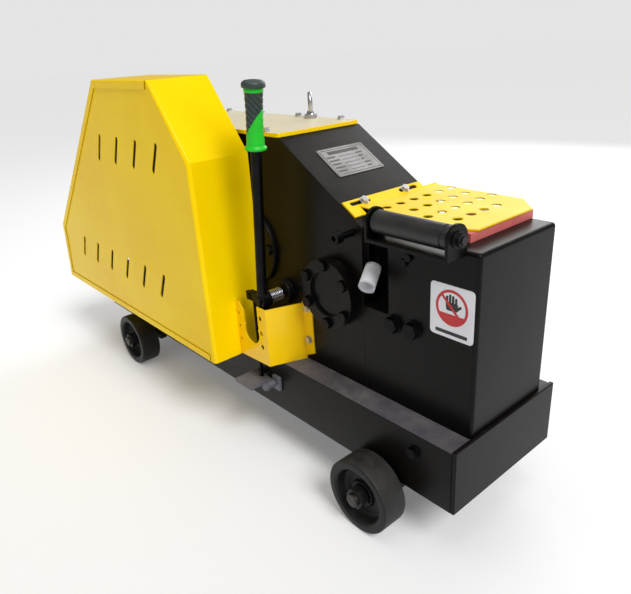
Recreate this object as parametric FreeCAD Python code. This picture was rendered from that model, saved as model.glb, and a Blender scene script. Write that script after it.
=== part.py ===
"""Closed-type rebar cutter: a belt-driven crank press on a wheeled channel base.

The cutting end points along +X, the belt guard and the hand lever are on the near side (-Y), and +Z is up.
Inside this file x = 0 is the front of the base, y = 0 its near side and z = 0 its underside.
Every solid is moved once, at the end, so that the origin is on the floor under the middle of the machine.
"""

import FreeCAD
import Part
import math
import os

from FreeCAD import Vector

# ---------------------------------------------------------------- driving dimensions, mm

BASE_LENGTH = 1320.0
BASE_WIDTH = 295.0
BASE_HEIGHT = 120.0        # 12 cm channel steel
FLANGE_WIDTH = 53.0
WEB = 5.5
FLANGE = 9.0
END_PLATE = 8.0
END_PLATE_LIP = 4.0

BODY_NEAR = 50.0           # y of the two side faces of the press body
BODY_FAR = 261.0
BODY_FRONT = -8.0
BODY_REAR = -970.0
BODY_TOP = 567.0
SIDE_PLATE = 16.0
SLOPE_TOP_X = -457.0
SLOPE_FOOT_X = -251.0
SLOPE_PLATE = 12.0
TOP_PLATE = 8.0
HEAD_TOP = 437.0

THROAT_REAR = -245.0
THROAT_FRONT = -185.0
THROAT_FLOOR = 290.0
BLADE_SPLIT = 125.5        # y of the shear plane
BLADE_GAP = 0.5
FIXED_EDGE = -193.0        # x of the fixed cutting edge
MOVING_EDGE = -238.0       # x of the moving edge with the ram drawn back

CRANK_X = -571.0
CRANK_Z = 335.0
CRANK_THROW = 24.0
COARSE_MODULE = 6.0
FINE_MODULE = 4.0
CRANK_TEETH = 60
COARSE_PINION_TEETH = 14
INTERMEDIATE_TEETH = 62
FINE_PINION_TEETH = 15
PRESSURE_ANGLE = 25.0
CENTRE_SLACK = 0.5

FLYWHEEL_RADIUS = 200.0
MOTOR_X = -1180.0
MOTOR_Z = 240.0
MOTOR_PULLEY_RADIUS = 56.0
MOTOR_RADIUS = 98.0
RIM_NEAR = -78.0           # y range of the pulley rims
RIM_FAR = -14.0
LIGHTENING_RADIUS = 26.0

GUARD_NEAR = -98.0
GUARD_FAR = 40.0
SHEET = 2.0

WHEEL_RADIUS = 71.0
WHEEL_WIDTH = 53.0
WHEEL_Z = -26.5
WHEEL_GAP = 9.0            # from the base's side to the wheel
FRONT_WHEEL_X = -165.0
REAR_WHEEL_X = -1077.0
AXLE_RADIUS = 12.5

SHIFT_X = -468.0           # lever shaft
SHIFT_Z = 258.0
LEVER_Y = -14.0
LEVER_LEAN = 5.3
LEVER_RADIUS = 10.0

ROLLER_Y = 24.0
ROLLER_Z = 462.0
ROLLER_RADIUS = 19.0
ROLLER_REAR = -182.0
ROLLER_FRONT = -37.0

RUN = 0.05                 # radial clearance of a shaft in its bearing
CLEAR = 0.3                # gap between pieces that pass each other

# shafts, bearings and caps
CRANK_JOURNAL = 38.0
MIDDLE_JOURNAL = 25.0
FLY_JOURNAL = 25.0
BUSH_WALL = 7.0
CAP_RADIUS = 81.0
ACCESS_X = -322.0          # deep round cap over the ram's side opening
ACCESS_Z = 296.0
ACCESS_RADIUS = 67.0
ACCESS_BOLT_CIRCLE = 57.0
COLLAR = (68.0, 80.0)      # y ranges along the crankshaft
GEAR_NEAR, GEAR_FAR = 84.0, 122.0
FINE_NEAR, FINE_FAR = 130.0, 164.0

# blades and ram
BLADE_THICK = 25.0
BLADE_DEPTH = 40.0
BLADE_LOW, BLADE_HIGH = 300.0, 392.0
BLADE_SEAT = FIXED_EDGE + BLADE_DEPTH
RAM_LOW, RAM_HIGH = 295.0, 395.0
RAM_NEAR, RAM_FAR = 126.0, 206.0
RAM_HEEL = -520.0
YOKE_NEAR = 170.0
PIN_RADIUS = 34.0

# V-belt grooves
GROOVES = [RIM_NEAR + 13 + 19 * k for k in range(3)]
GROOVE_DEPTH = 14.0
GROOVE_HALF_TOP = 8.5
GROOVE_HALF_FLOOR = 4.5

# lever, pedal, bracket, stop screw and lifting eye
SHIFT_RADIUS = 9.0
ARM_LENGTH = 37.0
LINK_STUD = 4.0
LINK_STEM = 3.5
LINK_Y = -8.5
PEDAL_Z = 62.0
PEDAL_PIVOT_X = -464.0
PEDAL_PIVOT_Z = 64.0
BRACKET_X0, BRACKET_X1 = -546.0, -442.0
BRACKET_Y = -29.0
STOP_X = -268.0
STOP_Z = 420.0
STOP_RADIUS = 6.0
EYE_PLACE = (-580.0, 238.0)

GUARD_RIM = 17.0
GUARD_OUTLINE = [(-1360, 113), (-1333, 282), (-917, 679), (-662, 679), (-546, 534), (-546, 113)]

parts = {}


# ---------------------------------------------------------------- small builders

def box(x0, x1, y0, y1, z0, z1):
    return Part.makeBox(x1 - x0, y1 - y0, z1 - z0, Vector(x0, y0, z0))


def rod(start, end, radius):
    start, end = Vector(*start), Vector(*end)
    return Part.makeCylinder(radius, (end - start).Length, start, end - start)


def across(x, z, radius, y0, y1):
    """A round bar along Y."""
    return rod((x, y0, z), (x, y1, z), radius)


def ring(x, z, outer, inner, y0, y1):
    return across(x, z, outer, y0, y1).cut(across(x, z, inner, y0, y1))


def side_prism(points, y0, y1):
    """An outline drawn in X and Z, made solid from y0 to y1."""
    corners = [Vector(x, y0, z) for x, z in points]
    return Part.Face(Part.makePolygon(corners + corners[:1])).extrude(Vector(0, y1 - y0, 0))


def plan_prism(points, z0, z1):
    """An outline drawn in X and Y, made solid from z0 to z1."""
    corners = [Vector(x, y, z0) for x, y in points]
    return Part.Face(Part.makePolygon(corners + corners[:1])).extrude(Vector(0, 0, z1 - z0))


def group(shapes):
    return Part.makeCompound(list(shapes))


def joined(shapes):
    first, *others = shapes
    return first.fuse(others).removeSplitter()


def bolt(seat, direction, size, shank, washer=True):
    """A hex bolt whose washer sits on seat, with its head standing out along direction."""
    seat, direction = Vector(*seat), Vector(*direction).normalize()
    spin = FreeCAD.Rotation(Vector(0, 0, 1), direction)
    head_radius, head_height, washer_height = 0.92 * size, 0.65 * size, 0.15 * size
    lift = washer_height if washer else 0.0
    corners = [Vector(head_radius * math.cos(a), head_radius * math.sin(a), lift)
               for a in (math.radians(60 * k) for k in range(6))]
    head = Part.Face(Part.makePolygon(corners + corners[:1])).extrude(Vector(0, 0, head_height))
    solid = head.fuse(Part.makeCylinder(size / 2, shank + lift, Vector(0, 0, -shank)))
    if washer:
        solid = solid.fuse(Part.makeCylinder(1.1 * size, washer_height))
    solid.Placement = FreeCAD.Placement(seat, spin)
    return solid


def slope_point(along, lift=0.0):
    """A point on the sloping front: along from its top edge, lift out of its face."""
    ux, uz = slope_direction()
    return SLOPE_TOP_X + along * ux - lift * uz, BODY_TOP + along * uz + lift * ux


def slope_direction():
    run, rise = SLOPE_FOOT_X - SLOPE_TOP_X, HEAD_TOP - BODY_TOP
    length = math.hypot(run, rise)
    return run / length, rise / length


# ---------------------------------------------------------------- base and wheels

def base_rail(web_side, flange_side):
    """A channel on its edge: web outside, flanges turned inwards."""
    sign = 1 if flange_side > web_side else -1
    x0, x1 = -BASE_LENGTH + END_PLATE, -END_PLATE
    outer = box(x0, x1, *sorted((web_side, flange_side)), 0, BASE_HEIGHT)
    hollow = box(x0, x1, *sorted((web_side + sign * WEB, flange_side)), FLANGE, BASE_HEIGHT - FLANGE)
    return outer.cut(hollow)


def base():
    parts["near_base_rail"] = base_rail(0, FLANGE_WIDTH)
    parts["far_base_rail"] = base_rail(BASE_WIDTH, BASE_WIDTH - FLANGE_WIDTH)
    top = BASE_HEIGHT + END_PLATE_LIP
    ends = [box(-END_PLATE, 0, 0, BASE_WIDTH, 0, top),
            box(-BASE_LENGTH, -BASE_LENGTH + END_PLATE, 0, BASE_WIDTH, 0, top)]
    thickness = 10.0
    ribs = [box(x, x + thickness, WEB, BASE_WIDTH - WEB, FLANGE, BASE_HEIGHT - FLANGE)
            for x in (-320.0, -640.0, -900.0, -1060.0, -1290.0)]
    parts["base_cross_plates"] = group([end.makeFillet(2.0, end.Edges) for end in ends] + ribs)


def axle_set():
    bracket_length, bracket_width, bracket_drop = 70.0, 14.0, 46.0
    brackets, axles, nuts = [], [], []
    outer_y = WHEEL_GAP + WHEEL_WIDTH
    washer, nut, hub_face = 3.0, 12.0, 2.0
    for x in (FRONT_WHEEL_X, REAR_WHEEL_X):
        axles.append(across(x, WHEEL_Z, AXLE_RADIUS, -outer_y - nut, BASE_WIDTH + outer_y + nut))
        for y in (18.0, BASE_WIDTH - 18.0 - bracket_width):
            block = box(x - bracket_length / 2, x + bracket_length / 2, y, y + bracket_width, -bracket_drop, 0)
            lower = [e for e in block.Edges
                     if e.BoundBox.ZMax < 1 - bracket_drop and e.BoundBox.YLength > 1]
            block = block.makeFillet(18.0, lower)
            brackets.append(block.cut(across(x, WHEEL_Z, AXLE_RADIUS, y, y + bracket_width)))
        for face, outwards in ((-outer_y, -1), (BASE_WIDTH + outer_y, 1)):
            start = face - outwards * (hub_dish() - hub_face)
            flat = ring(x, WHEEL_Z, 21.0, AXLE_RADIUS, *sorted((start, start + outwards * washer)))
            castle = bolt((x, start + outwards * washer, WHEEL_Z), (0, outwards, 0), 22.0, 0.1, washer=False)
            nuts.append(joined([flat, castle.cut(across(x, WHEEL_Z, AXLE_RADIUS, -200, 600))]))
    parts["axle_brackets"] = group(brackets)
    return axles, nuts


def hub_dish():
    """How deep the hub's end face lies inside the wheel's face."""
    return 14.0


def road_wheel(x, face, outwards):
    """A cast wheel, turned from one section: thick rim, deep dish, long hub."""
    half_hub, hub_radius, rim_inner, web_half = WHEEL_WIDTH - hub_dish(), 24.0, 52.0, 5.0
    bore = AXLE_RADIUS + RUN
    inner = face - outwards * WHEEL_WIDTH

    def at(radius, depth):
        return Vector(x + radius, face - outwards * depth, WHEEL_Z)

    middle = WHEEL_WIDTH / 2
    section = [at(bore, hub_dish()), at(hub_radius, hub_dish()), at(hub_radius + 2, middle - web_half),
               at(rim_inner - 4, middle - web_half), at(rim_inner + 2, 2), at(rim_inner + 5, 0),
               at(WHEEL_RADIUS - 4, 0), at(WHEEL_RADIUS, 4), at(WHEEL_RADIUS, WHEEL_WIDTH - 4),
               at(WHEEL_RADIUS - 4, WHEEL_WIDTH), at(rim_inner + 5, WHEEL_WIDTH),
               at(rim_inner, WHEEL_WIDTH - 6), at(rim_inner - 4, middle + web_half),
               at(hub_radius + 2, middle + web_half), at(hub_radius, WHEEL_WIDTH), at(bore, WHEEL_WIDTH)]
    face_shape = Part.Face(Part.makePolygon(section + section[:1]))
    return face_shape.revolve(Vector(x, inner, WHEEL_Z), Vector(0, 1, 0), 360)


def wheels():
    near, far = -WHEEL_GAP - WHEEL_WIDTH, BASE_WIDTH + WHEEL_GAP + WHEEL_WIDTH
    for end, x in (("front", FRONT_WHEEL_X), ("rear", REAR_WHEEL_X)):
        parts[f"{end}_near_wheel"] = road_wheel(x, near, -1)
        parts[f"{end}_far_wheel"] = road_wheel(x, far, 1)


# ---------------------------------------------------------------- press body

def shaft_places():
    """Centres of the intermediate shaft and the flywheel shaft, set by the gears in mesh."""
    coarse = COARSE_MODULE * (CRANK_TEETH + COARSE_PINION_TEETH) / 2 + CENTRE_SLACK
    fine = FINE_MODULE * (INTERMEDIATE_TEETH + FINE_PINION_TEETH) / 2 + CENTRE_SLACK
    down, up = math.radians(195), math.radians(100)
    middle = (CRANK_X + coarse * math.cos(down), CRANK_Z + coarse * math.sin(down))
    fly = (middle[0] + fine * math.cos(up), middle[1] + fine * math.sin(up))
    return middle, fly


def slope_foot():
    """The slope's height at the throat, its plate's thickness straight down, and where its underside meets the top."""
    ux, uz = slope_direction()
    drop = SLOPE_PLATE / ux
    return BODY_TOP + (THROAT_REAR - SLOPE_TOP_X) * uz / ux, drop, SLOPE_TOP_X - drop * ux / -uz


def side_outline():
    """The tall rear and the sloping front of a side plate, under the slope plate and the top plate."""
    foot_z, drop, shoulder = slope_foot()
    return [(BODY_REAR, BASE_HEIGHT), (THROAT_REAR, BASE_HEIGHT), (THROAT_REAR, foot_z - drop),
            (shoulder, BODY_TOP), (BODY_REAR, BODY_TOP)]


def bearing_seats():
    middle, fly = shaft_places()
    return [(CRANK_X, CRANK_Z, CRANK_JOURNAL), (*middle, MIDDLE_JOURNAL), (*fly, FLY_JOURNAL)]


def body():
    near_inner, far_inner = BODY_NEAR + SIDE_PLATE, BODY_FAR - SIDE_PLATE
    near = side_prism(side_outline(), BODY_NEAR, near_inner)
    far = side_prism(side_outline(), far_inner, BODY_FAR)
    bushes = []
    for x, z, journal in bearing_seats():
        seat = journal + BUSH_WALL
        near = near.cut(across(x, z, seat, BODY_NEAR, near_inner))
        far = far.cut(across(x, z, seat, far_inner, BODY_FAR))
        bushes.append(ring(x, z, seat, journal + RUN, BODY_NEAR, near_inner))
        bushes.append(ring(x, z, seat, journal + RUN, far_inner, BODY_FAR))
    near = near.cut(across(ACCESS_X, ACCESS_Z, 34.0, BODY_NEAR, near_inner))
    near = near.cut(across(SHIFT_X, SHIFT_Z, SHIFT_RADIUS + RUN, BODY_NEAR, near_inner))
    near = near.cut(across(STOP_X, STOP_Z, STOP_RADIUS, BODY_NEAR, near_inner))
    boss = ring(SHIFT_X, SHIFT_Z, 26.0, SHIFT_RADIUS + RUN, BODY_NEAR - 14, BODY_NEAR)
    boss_rim = [e for e in boss.Edges if e.BoundBox.YMax < BODY_NEAR - 13 and e.BoundBox.XLength > 40]
    parts["near_side_plate"] = joined([near, boss.makeFillet(3.0, boss_rim)])
    parts["far_side_plate"] = far
    parts["shaft_bushes"] = group(bushes)

    edge_z, drop, shoulder = slope_foot()
    slope = [(SLOPE_TOP_X, BODY_TOP), (THROAT_REAR, edge_z), (THROAT_REAR, edge_z - drop), (shoulder, BODY_TOP)]
    parts["slope_plate"] = side_prism(slope, BODY_NEAR, BODY_FAR)
    parts["rear_plate"] = box(BODY_REAR, BODY_REAR + 12, near_inner, far_inner, BASE_HEIGHT, BODY_TOP)
    parts["floor_plate"] = box(BODY_REAR + 12, THROAT_REAR, near_inner, far_inner, BASE_HEIGHT, BASE_HEIGHT + 12)
    lid = box(BODY_REAR, SLOPE_TOP_X, BODY_NEAR, BODY_FAR, BODY_TOP, BODY_TOP + TOP_PLATE)
    upright = [e for e in lid.Edges if e.BoundBox.ZLength > 1]
    parts["top_plate"] = lid.makeFillet(6.0, upright).cut(
        Part.makeCylinder(8.0, TOP_PLATE, Vector(*EYE_PLACE, BODY_TOP)))


def cutting_head():
    """One heavy block: it closes the front and forms the floor and front wall of the throat."""
    outline = [(THROAT_REAR, BASE_HEIGHT), (BODY_FRONT, BASE_HEIGHT), (BODY_FRONT, HEAD_TOP),
               (THROAT_FRONT, HEAD_TOP), (THROAT_FRONT, THROAT_FLOOR), (THROAT_REAR, THROAT_FLOOR)]
    block = side_prism(outline, BODY_NEAR, BODY_FAR)
    corners = [e for e in block.Edges
               if e.BoundBox.XMin > BODY_FRONT - 1 and e.BoundBox.ZLength > 100
               or e.BoundBox.ZMin > HEAD_TOP - 1 and e.BoundBox.XMax > BODY_FRONT - 1]
    block = block.makeFillet(7.0, corners)
    pocket = box(FIXED_EDGE, BLADE_SEAT, BLADE_SPLIT - BLADE_THICK, BLADE_SPLIT, BLADE_LOW, BLADE_HIGH)
    parts["cutting_head"] = block.cut(pocket)


def caps():
    """Round bearing caps: three on the far side, and two on the near side clear of the belt guard."""
    thick, bolt_size = 9.0, 12.0
    pieces, screws = [], []
    places = [(x, z, journal + 43.0, BODY_FAR, 1) for x, z, journal in bearing_seats()]
    places.append((CRANK_X, CRANK_Z, CAP_RADIUS, BODY_NEAR, -1))
    for x, z, radius, face, outwards in places:
        cap = across(x, z, radius, *sorted((face, face + outwards * thick)))
        rim = [e for e in cap.Edges if abs(e.BoundBox.YMin - face - outwards * thick) < 0.1]
        pieces.append(cap.makeFillet(3.0, rim))
        for k in range(4):
            angle = math.radians(90 * k + 5)
            spot = (x + (radius - 15) * math.cos(angle), face + outwards * thick,
                    z + (radius - 15) * math.sin(angle))
            screws.append(bolt(spot, (0, outwards, 0), bolt_size, thick, washer=False))
    parts["bearing_caps"] = group(piece.cut(group(screws)) for piece in pieces)

    deep = 22.0
    cap = across(ACCESS_X, ACCESS_Z, ACCESS_RADIUS, BODY_NEAR - deep, BODY_NEAR)
    cap = cap.cut(across(ACCESS_X, ACCESS_Z, ACCESS_RADIUS - 24, BODY_NEAR - deep, BODY_NEAR - deep + 6))
    cap_screws = []
    for angle in (152, 208, 272, 328, 32, 92):
        turn = math.radians(angle)
        spot = (ACCESS_X + ACCESS_BOLT_CIRCLE * math.cos(turn), BODY_NEAR - deep,
                ACCESS_Z + ACCESS_BOLT_CIRCLE * math.sin(turn))
        cap_screws.append(bolt(spot, (0, -1, 0), bolt_size, deep, washer=False))
    parts["ram_access_cap"] = cap.cut(group(cap_screws))
    return screws + cap_screws


# ---------------------------------------------------------------- blades, ram and crank


def blades():
    near, split = BLADE_SPLIT - BLADE_THICK, BLADE_SPLIT
    fixed = box(FIXED_EDGE, BLADE_SEAT, near, split, BLADE_LOW, BLADE_HIGH)
    bore = rod((FIXED_EDGE, near + BLADE_THICK / 2, 346), (BLADE_SEAT, near + BLADE_THICK / 2, 346), 7.0)
    parts["fixed_blade"] = fixed.cut(bore)
    start = split + BLADE_GAP
    moving = box(MOVING_EDGE - BLADE_DEPTH, MOVING_EDGE, start, start + BLADE_THICK, BLADE_LOW, BLADE_HIGH)
    parts["moving_blade"] = moving


def ram():
    """A guided bar with a slotted yoke at its heel for the crank pin."""
    nose = THROAT_REAR - 2.0
    bar = box(RAM_HEEL, nose, RAM_NEAR, RAM_FAR, RAM_LOW, RAM_HIGH)
    seat = box(MOVING_EDGE - BLADE_DEPTH, nose, RAM_NEAR, RAM_NEAR + BLADE_THICK, BLADE_LOW, BLADE_HIGH)
    pin_x = CRANK_X - CRANK_THROW
    slack = 0.2105 * CRANK_THROW + 0.6
    half_window = PIN_RADIUS + slack
    half_height = PIN_RADIUS + CRANK_THROW + 2.0
    wall = 20.0
    frame = box(pin_x - half_window - wall, RAM_HEEL, YOKE_NEAR, RAM_FAR,
                CRANK_Z - half_height - wall, CRANK_Z + half_height + wall)
    window = box(pin_x - half_window, pin_x + half_window, YOKE_NEAR, RAM_FAR,
                 CRANK_Z - half_height, CRANK_Z + half_height)
    parts["ram"] = joined([bar.cut(seat), frame]).cut(window)
    rail, x0, x1 = 22.0, -470.0, THROAT_REAR - 12.0
    parts["ram_guides"] = group([
        box(x0, x1, RAM_NEAR, RAM_FAR, RAM_LOW - CLEAR - rail, RAM_LOW - CLEAR),
        box(x0, x1, RAM_NEAR, RAM_FAR, RAM_HIGH + CLEAR, RAM_HIGH + CLEAR + rail - 8)])


def crank():
    near_end, far_end = BODY_NEAR + 0.5, BODY_FAR - 0.5
    shaft = across(CRANK_X, CRANK_Z, CRANK_JOURNAL, near_end, YOKE_NEAR - 3)
    pin = across(CRANK_X - CRANK_THROW, CRANK_Z, PIN_RADIUS, YOKE_NEAR - 3, RAM_FAR + 1)
    web = across(CRANK_X, CRANK_Z, PIN_RADIUS + CRANK_THROW + 2, RAM_FAR + 1, RAM_FAR + 15)
    tail = across(CRANK_X, CRANK_Z, CRANK_JOURNAL, RAM_FAR + 15, far_end)
    parts["crankshaft"] = joined([shaft, pin, web, tail])
    collar_near, collar_far = COLLAR
    notch = box(CRANK_X + 10, CRANK_X + 30, collar_near, collar_far, CRANK_Z - 64, CRANK_Z - 48)
    disc = ring(CRANK_X, CRANK_Z, 62.0, CRANK_JOURNAL, collar_near, collar_far)
    parts["clutch_collar"] = disc.cut(notch)


def gear(teeth, module, x, z, bore, y0, y1, start):
    """A spur gear with straight-sided steps along true involute flanks; start turns its first tooth."""
    tilt = math.radians(PRESSURE_ANGLE)
    pitch, base_radius = teeth * module / 2, teeth * module / 2 * math.cos(tilt)
    tip, root = pitch + 0.9 * module, pitch - 1.2 * module
    thin = 0.12 / pitch
    half_pitch_angle = math.pi / (2 * teeth) - thin + math.tan(tilt) - tilt
    steps = 4
    low = max(root, base_radius)
    outline = []
    for k in range(teeth):
        middle = start + 2 * math.pi * k / teeth
        flank = []
        for i in range(steps + 1):
            radius = low + (tip - low) * i / steps
            roll = math.sqrt(max(radius / base_radius, 1.0) ** 2 - 1.0)
            flank.append((radius, half_pitch_angle - (roll - math.atan(roll))))
        foot = (root, flank[0][1])
        rising = ([foot] if low > root else []) + flank
        outline += [(r, middle - a) for r, a in rising] + [(r, middle + a) for r, a in reversed(rising)]
    corners = [Vector(x + r * math.cos(a), y0, z + r * math.sin(a)) for r, a in outline]
    blank = Part.Face(Part.makePolygon(corners + corners[:1])).extrude(Vector(0, y1 - y0, 0))
    return blank.cut(across(x, z, bore, y0, y1))


def gears():
    middle, fly = shaft_places()
    towards_middle = math.atan2(middle[1] - CRANK_Z, middle[0] - CRANK_X)
    towards_fly = math.atan2(fly[1] - middle[1], fly[0] - middle[0])
    half_tooth = math.pi / COARSE_PINION_TEETH
    half_fine = math.pi / FINE_PINION_TEETH
    parts["crank_gear"] = gear(CRANK_TEETH, COARSE_MODULE, CRANK_X, CRANK_Z, CRANK_JOURNAL + RUN,
                               GEAR_NEAR, GEAR_FAR, towards_middle)
    wide = gear(INTERMEDIATE_TEETH, FINE_MODULE, *middle, MIDDLE_JOURNAL, FINE_NEAR, FINE_FAR, towards_fly)
    parts["intermediate_gear"] = wide
    pinion = gear(COARSE_PINION_TEETH, COARSE_MODULE, *middle, 1.0,
                  GEAR_NEAR, GEAR_FAR, towards_middle + math.pi + half_tooth)
    spine = across(*middle, MIDDLE_JOURNAL, BODY_NEAR + 0.5, BODY_FAR - 0.5)
    parts["intermediate_shaft"] = joined([pinion, spine])
    small = gear(FINE_PINION_TEETH, FINE_MODULE, *fly, 1.0,
                 FINE_NEAR, FINE_FAR, towards_fly + math.pi + half_fine)
    drive = across(*fly, FLY_JOURNAL, RIM_NEAR + 4, FINE_NEAR)
    core = across(*fly, 20.0, FINE_NEAR, FINE_FAR)
    drive_far = across(*fly, FLY_JOURNAL, FINE_FAR, BODY_FAR - 0.5)
    parts["flywheel_shaft"] = joined([drive, small, core, drive_far])


# ---------------------------------------------------------------- belt drive and motor


def grooved_wheel(x, z, radius, bore, rim, web, hub, lightening):
    """A V-belt wheel turned from one section, its web opened by round windows."""
    middle = (RIM_NEAR + RIM_FAR) / 2
    blank = ring(x, z, radius, bore, RIM_NEAR, RIM_FAR)
    for y0, y1 in ((RIM_NEAR, middle - web / 2), (middle + web / 2, RIM_FAR)):
        if rim > hub:
            blank = blank.cut(ring(x, z, rim, hub, y0, y1))
    for y in GROOVES:
        floor = radius - GROOVE_DEPTH
        mouth, half_mouth = x + radius + 1, GROOVE_HALF_TOP + 0.3
        section = [Vector(mouth, y - half_mouth, z), Vector(x + floor, y - GROOVE_HALF_FLOOR, z),
                   Vector(x + floor, y + GROOVE_HALF_FLOOR, z), Vector(mouth, y + half_mouth, z)]
        profile = Part.Face(Part.makePolygon(section + section[:1]))
        cutter = profile.revolve(Vector(x, 0, z), Vector(0, 1, 0), 360)
        blank = blank.cut(cutter)
    for k in range(lightening):
        angle = 2 * math.pi * k / lightening
        reach = (rim + hub) / 2
        blank = blank.cut(across(x + reach * math.cos(angle), z + reach * math.sin(angle), LIGHTENING_RADIUS,
                                 RIM_NEAR, RIM_FAR))
    return blank


def belt_drive():
    fly = shaft_places()[1]
    parts["flywheel"] = grooved_wheel(*fly, FLYWHEEL_RADIUS, FLY_JOURNAL, 168.0, 24.0, 48.0, 5)
    parts["motor_pulley"] = grooved_wheel(MOTOR_X, MOTOR_Z, MOTOR_PULLEY_RADIUS, 14.0, 30.0, 64.0, 30.0, 0)
    dx, dz = fly[0] - MOTOR_X, fly[1] - MOTOR_Z
    apart, aim = math.hypot(dx, dz), math.atan2(dz, dx)
    motor_centre, fly_centre = Vector(MOTOR_X, 0, MOTOR_Z), Vector(fly[0], 0, fly[1])

    def loop(big, small):
        """The outline of a belt around both wheels, at the given wrap radii."""
        tilt = math.asin((big - small) / apart)
        edges = []
        for sign in (1, -1):
            angle = aim + sign * (math.pi / 2 + tilt)
            unit = Vector(math.cos(angle), 0, math.sin(angle))
            edges.append((motor_centre + unit * small, fly_centre + unit * big))
        (small_up, big_up), (small_low, big_low) = edges
        along = Vector(math.cos(aim), 0, math.sin(aim))
        path = [Part.LineSegment(small_up, big_up), Part.Arc(big_up, fly_centre + along * big, big_low),
                Part.LineSegment(big_low, small_low), Part.Arc(small_low, motor_centre - along * small, small_up)]
        return Part.Wire([piece.toShape() for piece in path])

    belts = []
    outer, layers = 1.0, 3
    depth = 10.0
    for y in GROOVES:
        slices = []
        for layer in range(layers):
            top = outer - depth * layer / layers
            low = outer - depth * (layer + 1) / layers
            share = (GROOVE_DEPTH + low) / GROOVE_DEPTH
            half = GROOVE_HALF_FLOOR + (GROOVE_HALF_TOP - GROOVE_HALF_FLOOR) * share - 0.6
            skin = Part.Face(loop(FLYWHEEL_RADIUS + top, MOTOR_PULLEY_RADIUS + top))
            core = Part.Face(loop(FLYWHEEL_RADIUS + low, MOTOR_PULLEY_RADIUS + low))
            band = skin.cut(core).extrude(Vector(0, 2 * half, 0))
            band.translate(Vector(0, y - half, 0))
            slices.append(band)
        belts.append(joined(slices))
    parts["v_belts"] = group(belts)


def motor():
    front, back = 40.0, 262.0
    body_shape = ring(MOTOR_X, MOTOR_Z, MOTOR_RADIUS - 8, 60.0, front + 14, back)
    fins = 28
    ribs = []
    for k in range(fins):
        angle = 2 * math.pi * k / fins
        rib = box(MOTOR_X + MOTOR_RADIUS - 14, MOTOR_X + MOTOR_RADIUS, front + 20, back - 4,
                  MOTOR_Z - 1.5, MOTOR_Z + 1.5)
        rib.rotate(Vector(MOTOR_X, 0, MOTOR_Z), Vector(0, 1, 0), math.degrees(angle))
        ribs.append(rib)
    feet = [box(MOTOR_X - 100 + 150 * k, MOTOR_X - 50 + 150 * k, 90, 220, BASE_HEIGHT + 12, BASE_HEIGHT + 24)
            for k in range(2)]
    legs = [box(MOTOR_X - 78 + 130 * k, MOTOR_X - 52 + 130 * k, 95, 215, BASE_HEIGHT + 12, MOTOR_Z - 60)
            for k in range(2)]
    shell = joined([body_shape] + ribs + feet + legs).cut(across(MOTOR_X, MOTOR_Z, 60.0, front, back))
    parts["motor_housing"] = shell
    shield = across(MOTOR_X, MOTOR_Z, MOTOR_RADIUS - 6, front, front + 14).cut(
        across(MOTOR_X, MOTOR_Z, 14 + RUN, front, front + 14))
    rear = ring(MOTOR_X, MOTOR_Z, MOTOR_RADIUS - 6, 14 + RUN, back, back + 12)
    parts["motor_end_shields"] = group([shield, rear])
    fan_space = across(MOTOR_X, MOTOR_Z, MOTOR_RADIUS - 3, back + 12, back + 56)
    cowl = across(MOTOR_X, MOTOR_Z, MOTOR_RADIUS, back + 12, back + 58).cut(fan_space)
    for ring_radius, count in ((28.0, 8), (52.0, 14), (76.0, 20)):
        for k in range(count):
            angle = 2 * math.pi * k / count
            hole_x, hole_z = MOTOR_X + ring_radius * math.cos(angle), MOTOR_Z + ring_radius * math.sin(angle)
            cowl = cowl.cut(across(hole_x, hole_z, 5.0, back + 50, back + 60))
    parts["fan_cover"] = cowl
    spindle = across(MOTOR_X, MOTOR_Z, 14.0, RIM_NEAR + 4, back + 40)
    core = across(MOTOR_X, MOTOR_Z, 54.0, front + 30, back - 20)
    vanes = []
    for k in range(7):
        vane = box(MOTOR_X + 10, MOTOR_X + 84, back + 18, back + 44, MOTOR_Z - 1.5, MOTOR_Z + 1.5)
        vane.rotate(Vector(MOTOR_X, 0, MOTOR_Z), Vector(0, 1, 0), 360.0 * k / 7)
        vanes.append(vane)
    hub = across(MOTOR_X, MOTOR_Z, 24.0, back + 16, back + 46)
    parts["motor_rotor"] = joined([spindle, core, hub] + vanes)
    top = MOTOR_Z + MOTOR_RADIUS
    box_shape = box(MOTOR_X - 52, MOTOR_X + 52, 100, 200, top, top + 52)
    upright = [e for e in box_shape.Edges if e.BoundBox.ZLength > 1]
    gland = rod((MOTOR_X - 76, 150, top + 24), (MOTOR_X - 40, 150, top + 24), 9.0)
    nut = rod((MOTOR_X - 68, 150, top + 24), (MOTOR_X - 52, 150, top + 24), 14.0)
    bore = rod((MOTOR_X - 80, 150, top + 24), (MOTOR_X - 30, 150, top + 24), 5.5)
    parts["terminal_box"] = joined([box_shape.makeFillet(10.0, upright), gland, nut]).cut(bore)
    plate = box(MOTOR_X - 118, MOTOR_X + 118, 30, 262, BASE_HEIGHT, BASE_HEIGHT + 12)
    parts["motor_plate"] = plate
    return [bolt((MOTOR_X + sx * 75.0, y, BASE_HEIGHT + 24), (0, 0, 1), 10.0, 12)
            for sx in (-1.18, 1.18) for y in (110, 200)]


# ---------------------------------------------------------------- belt guard


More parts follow.
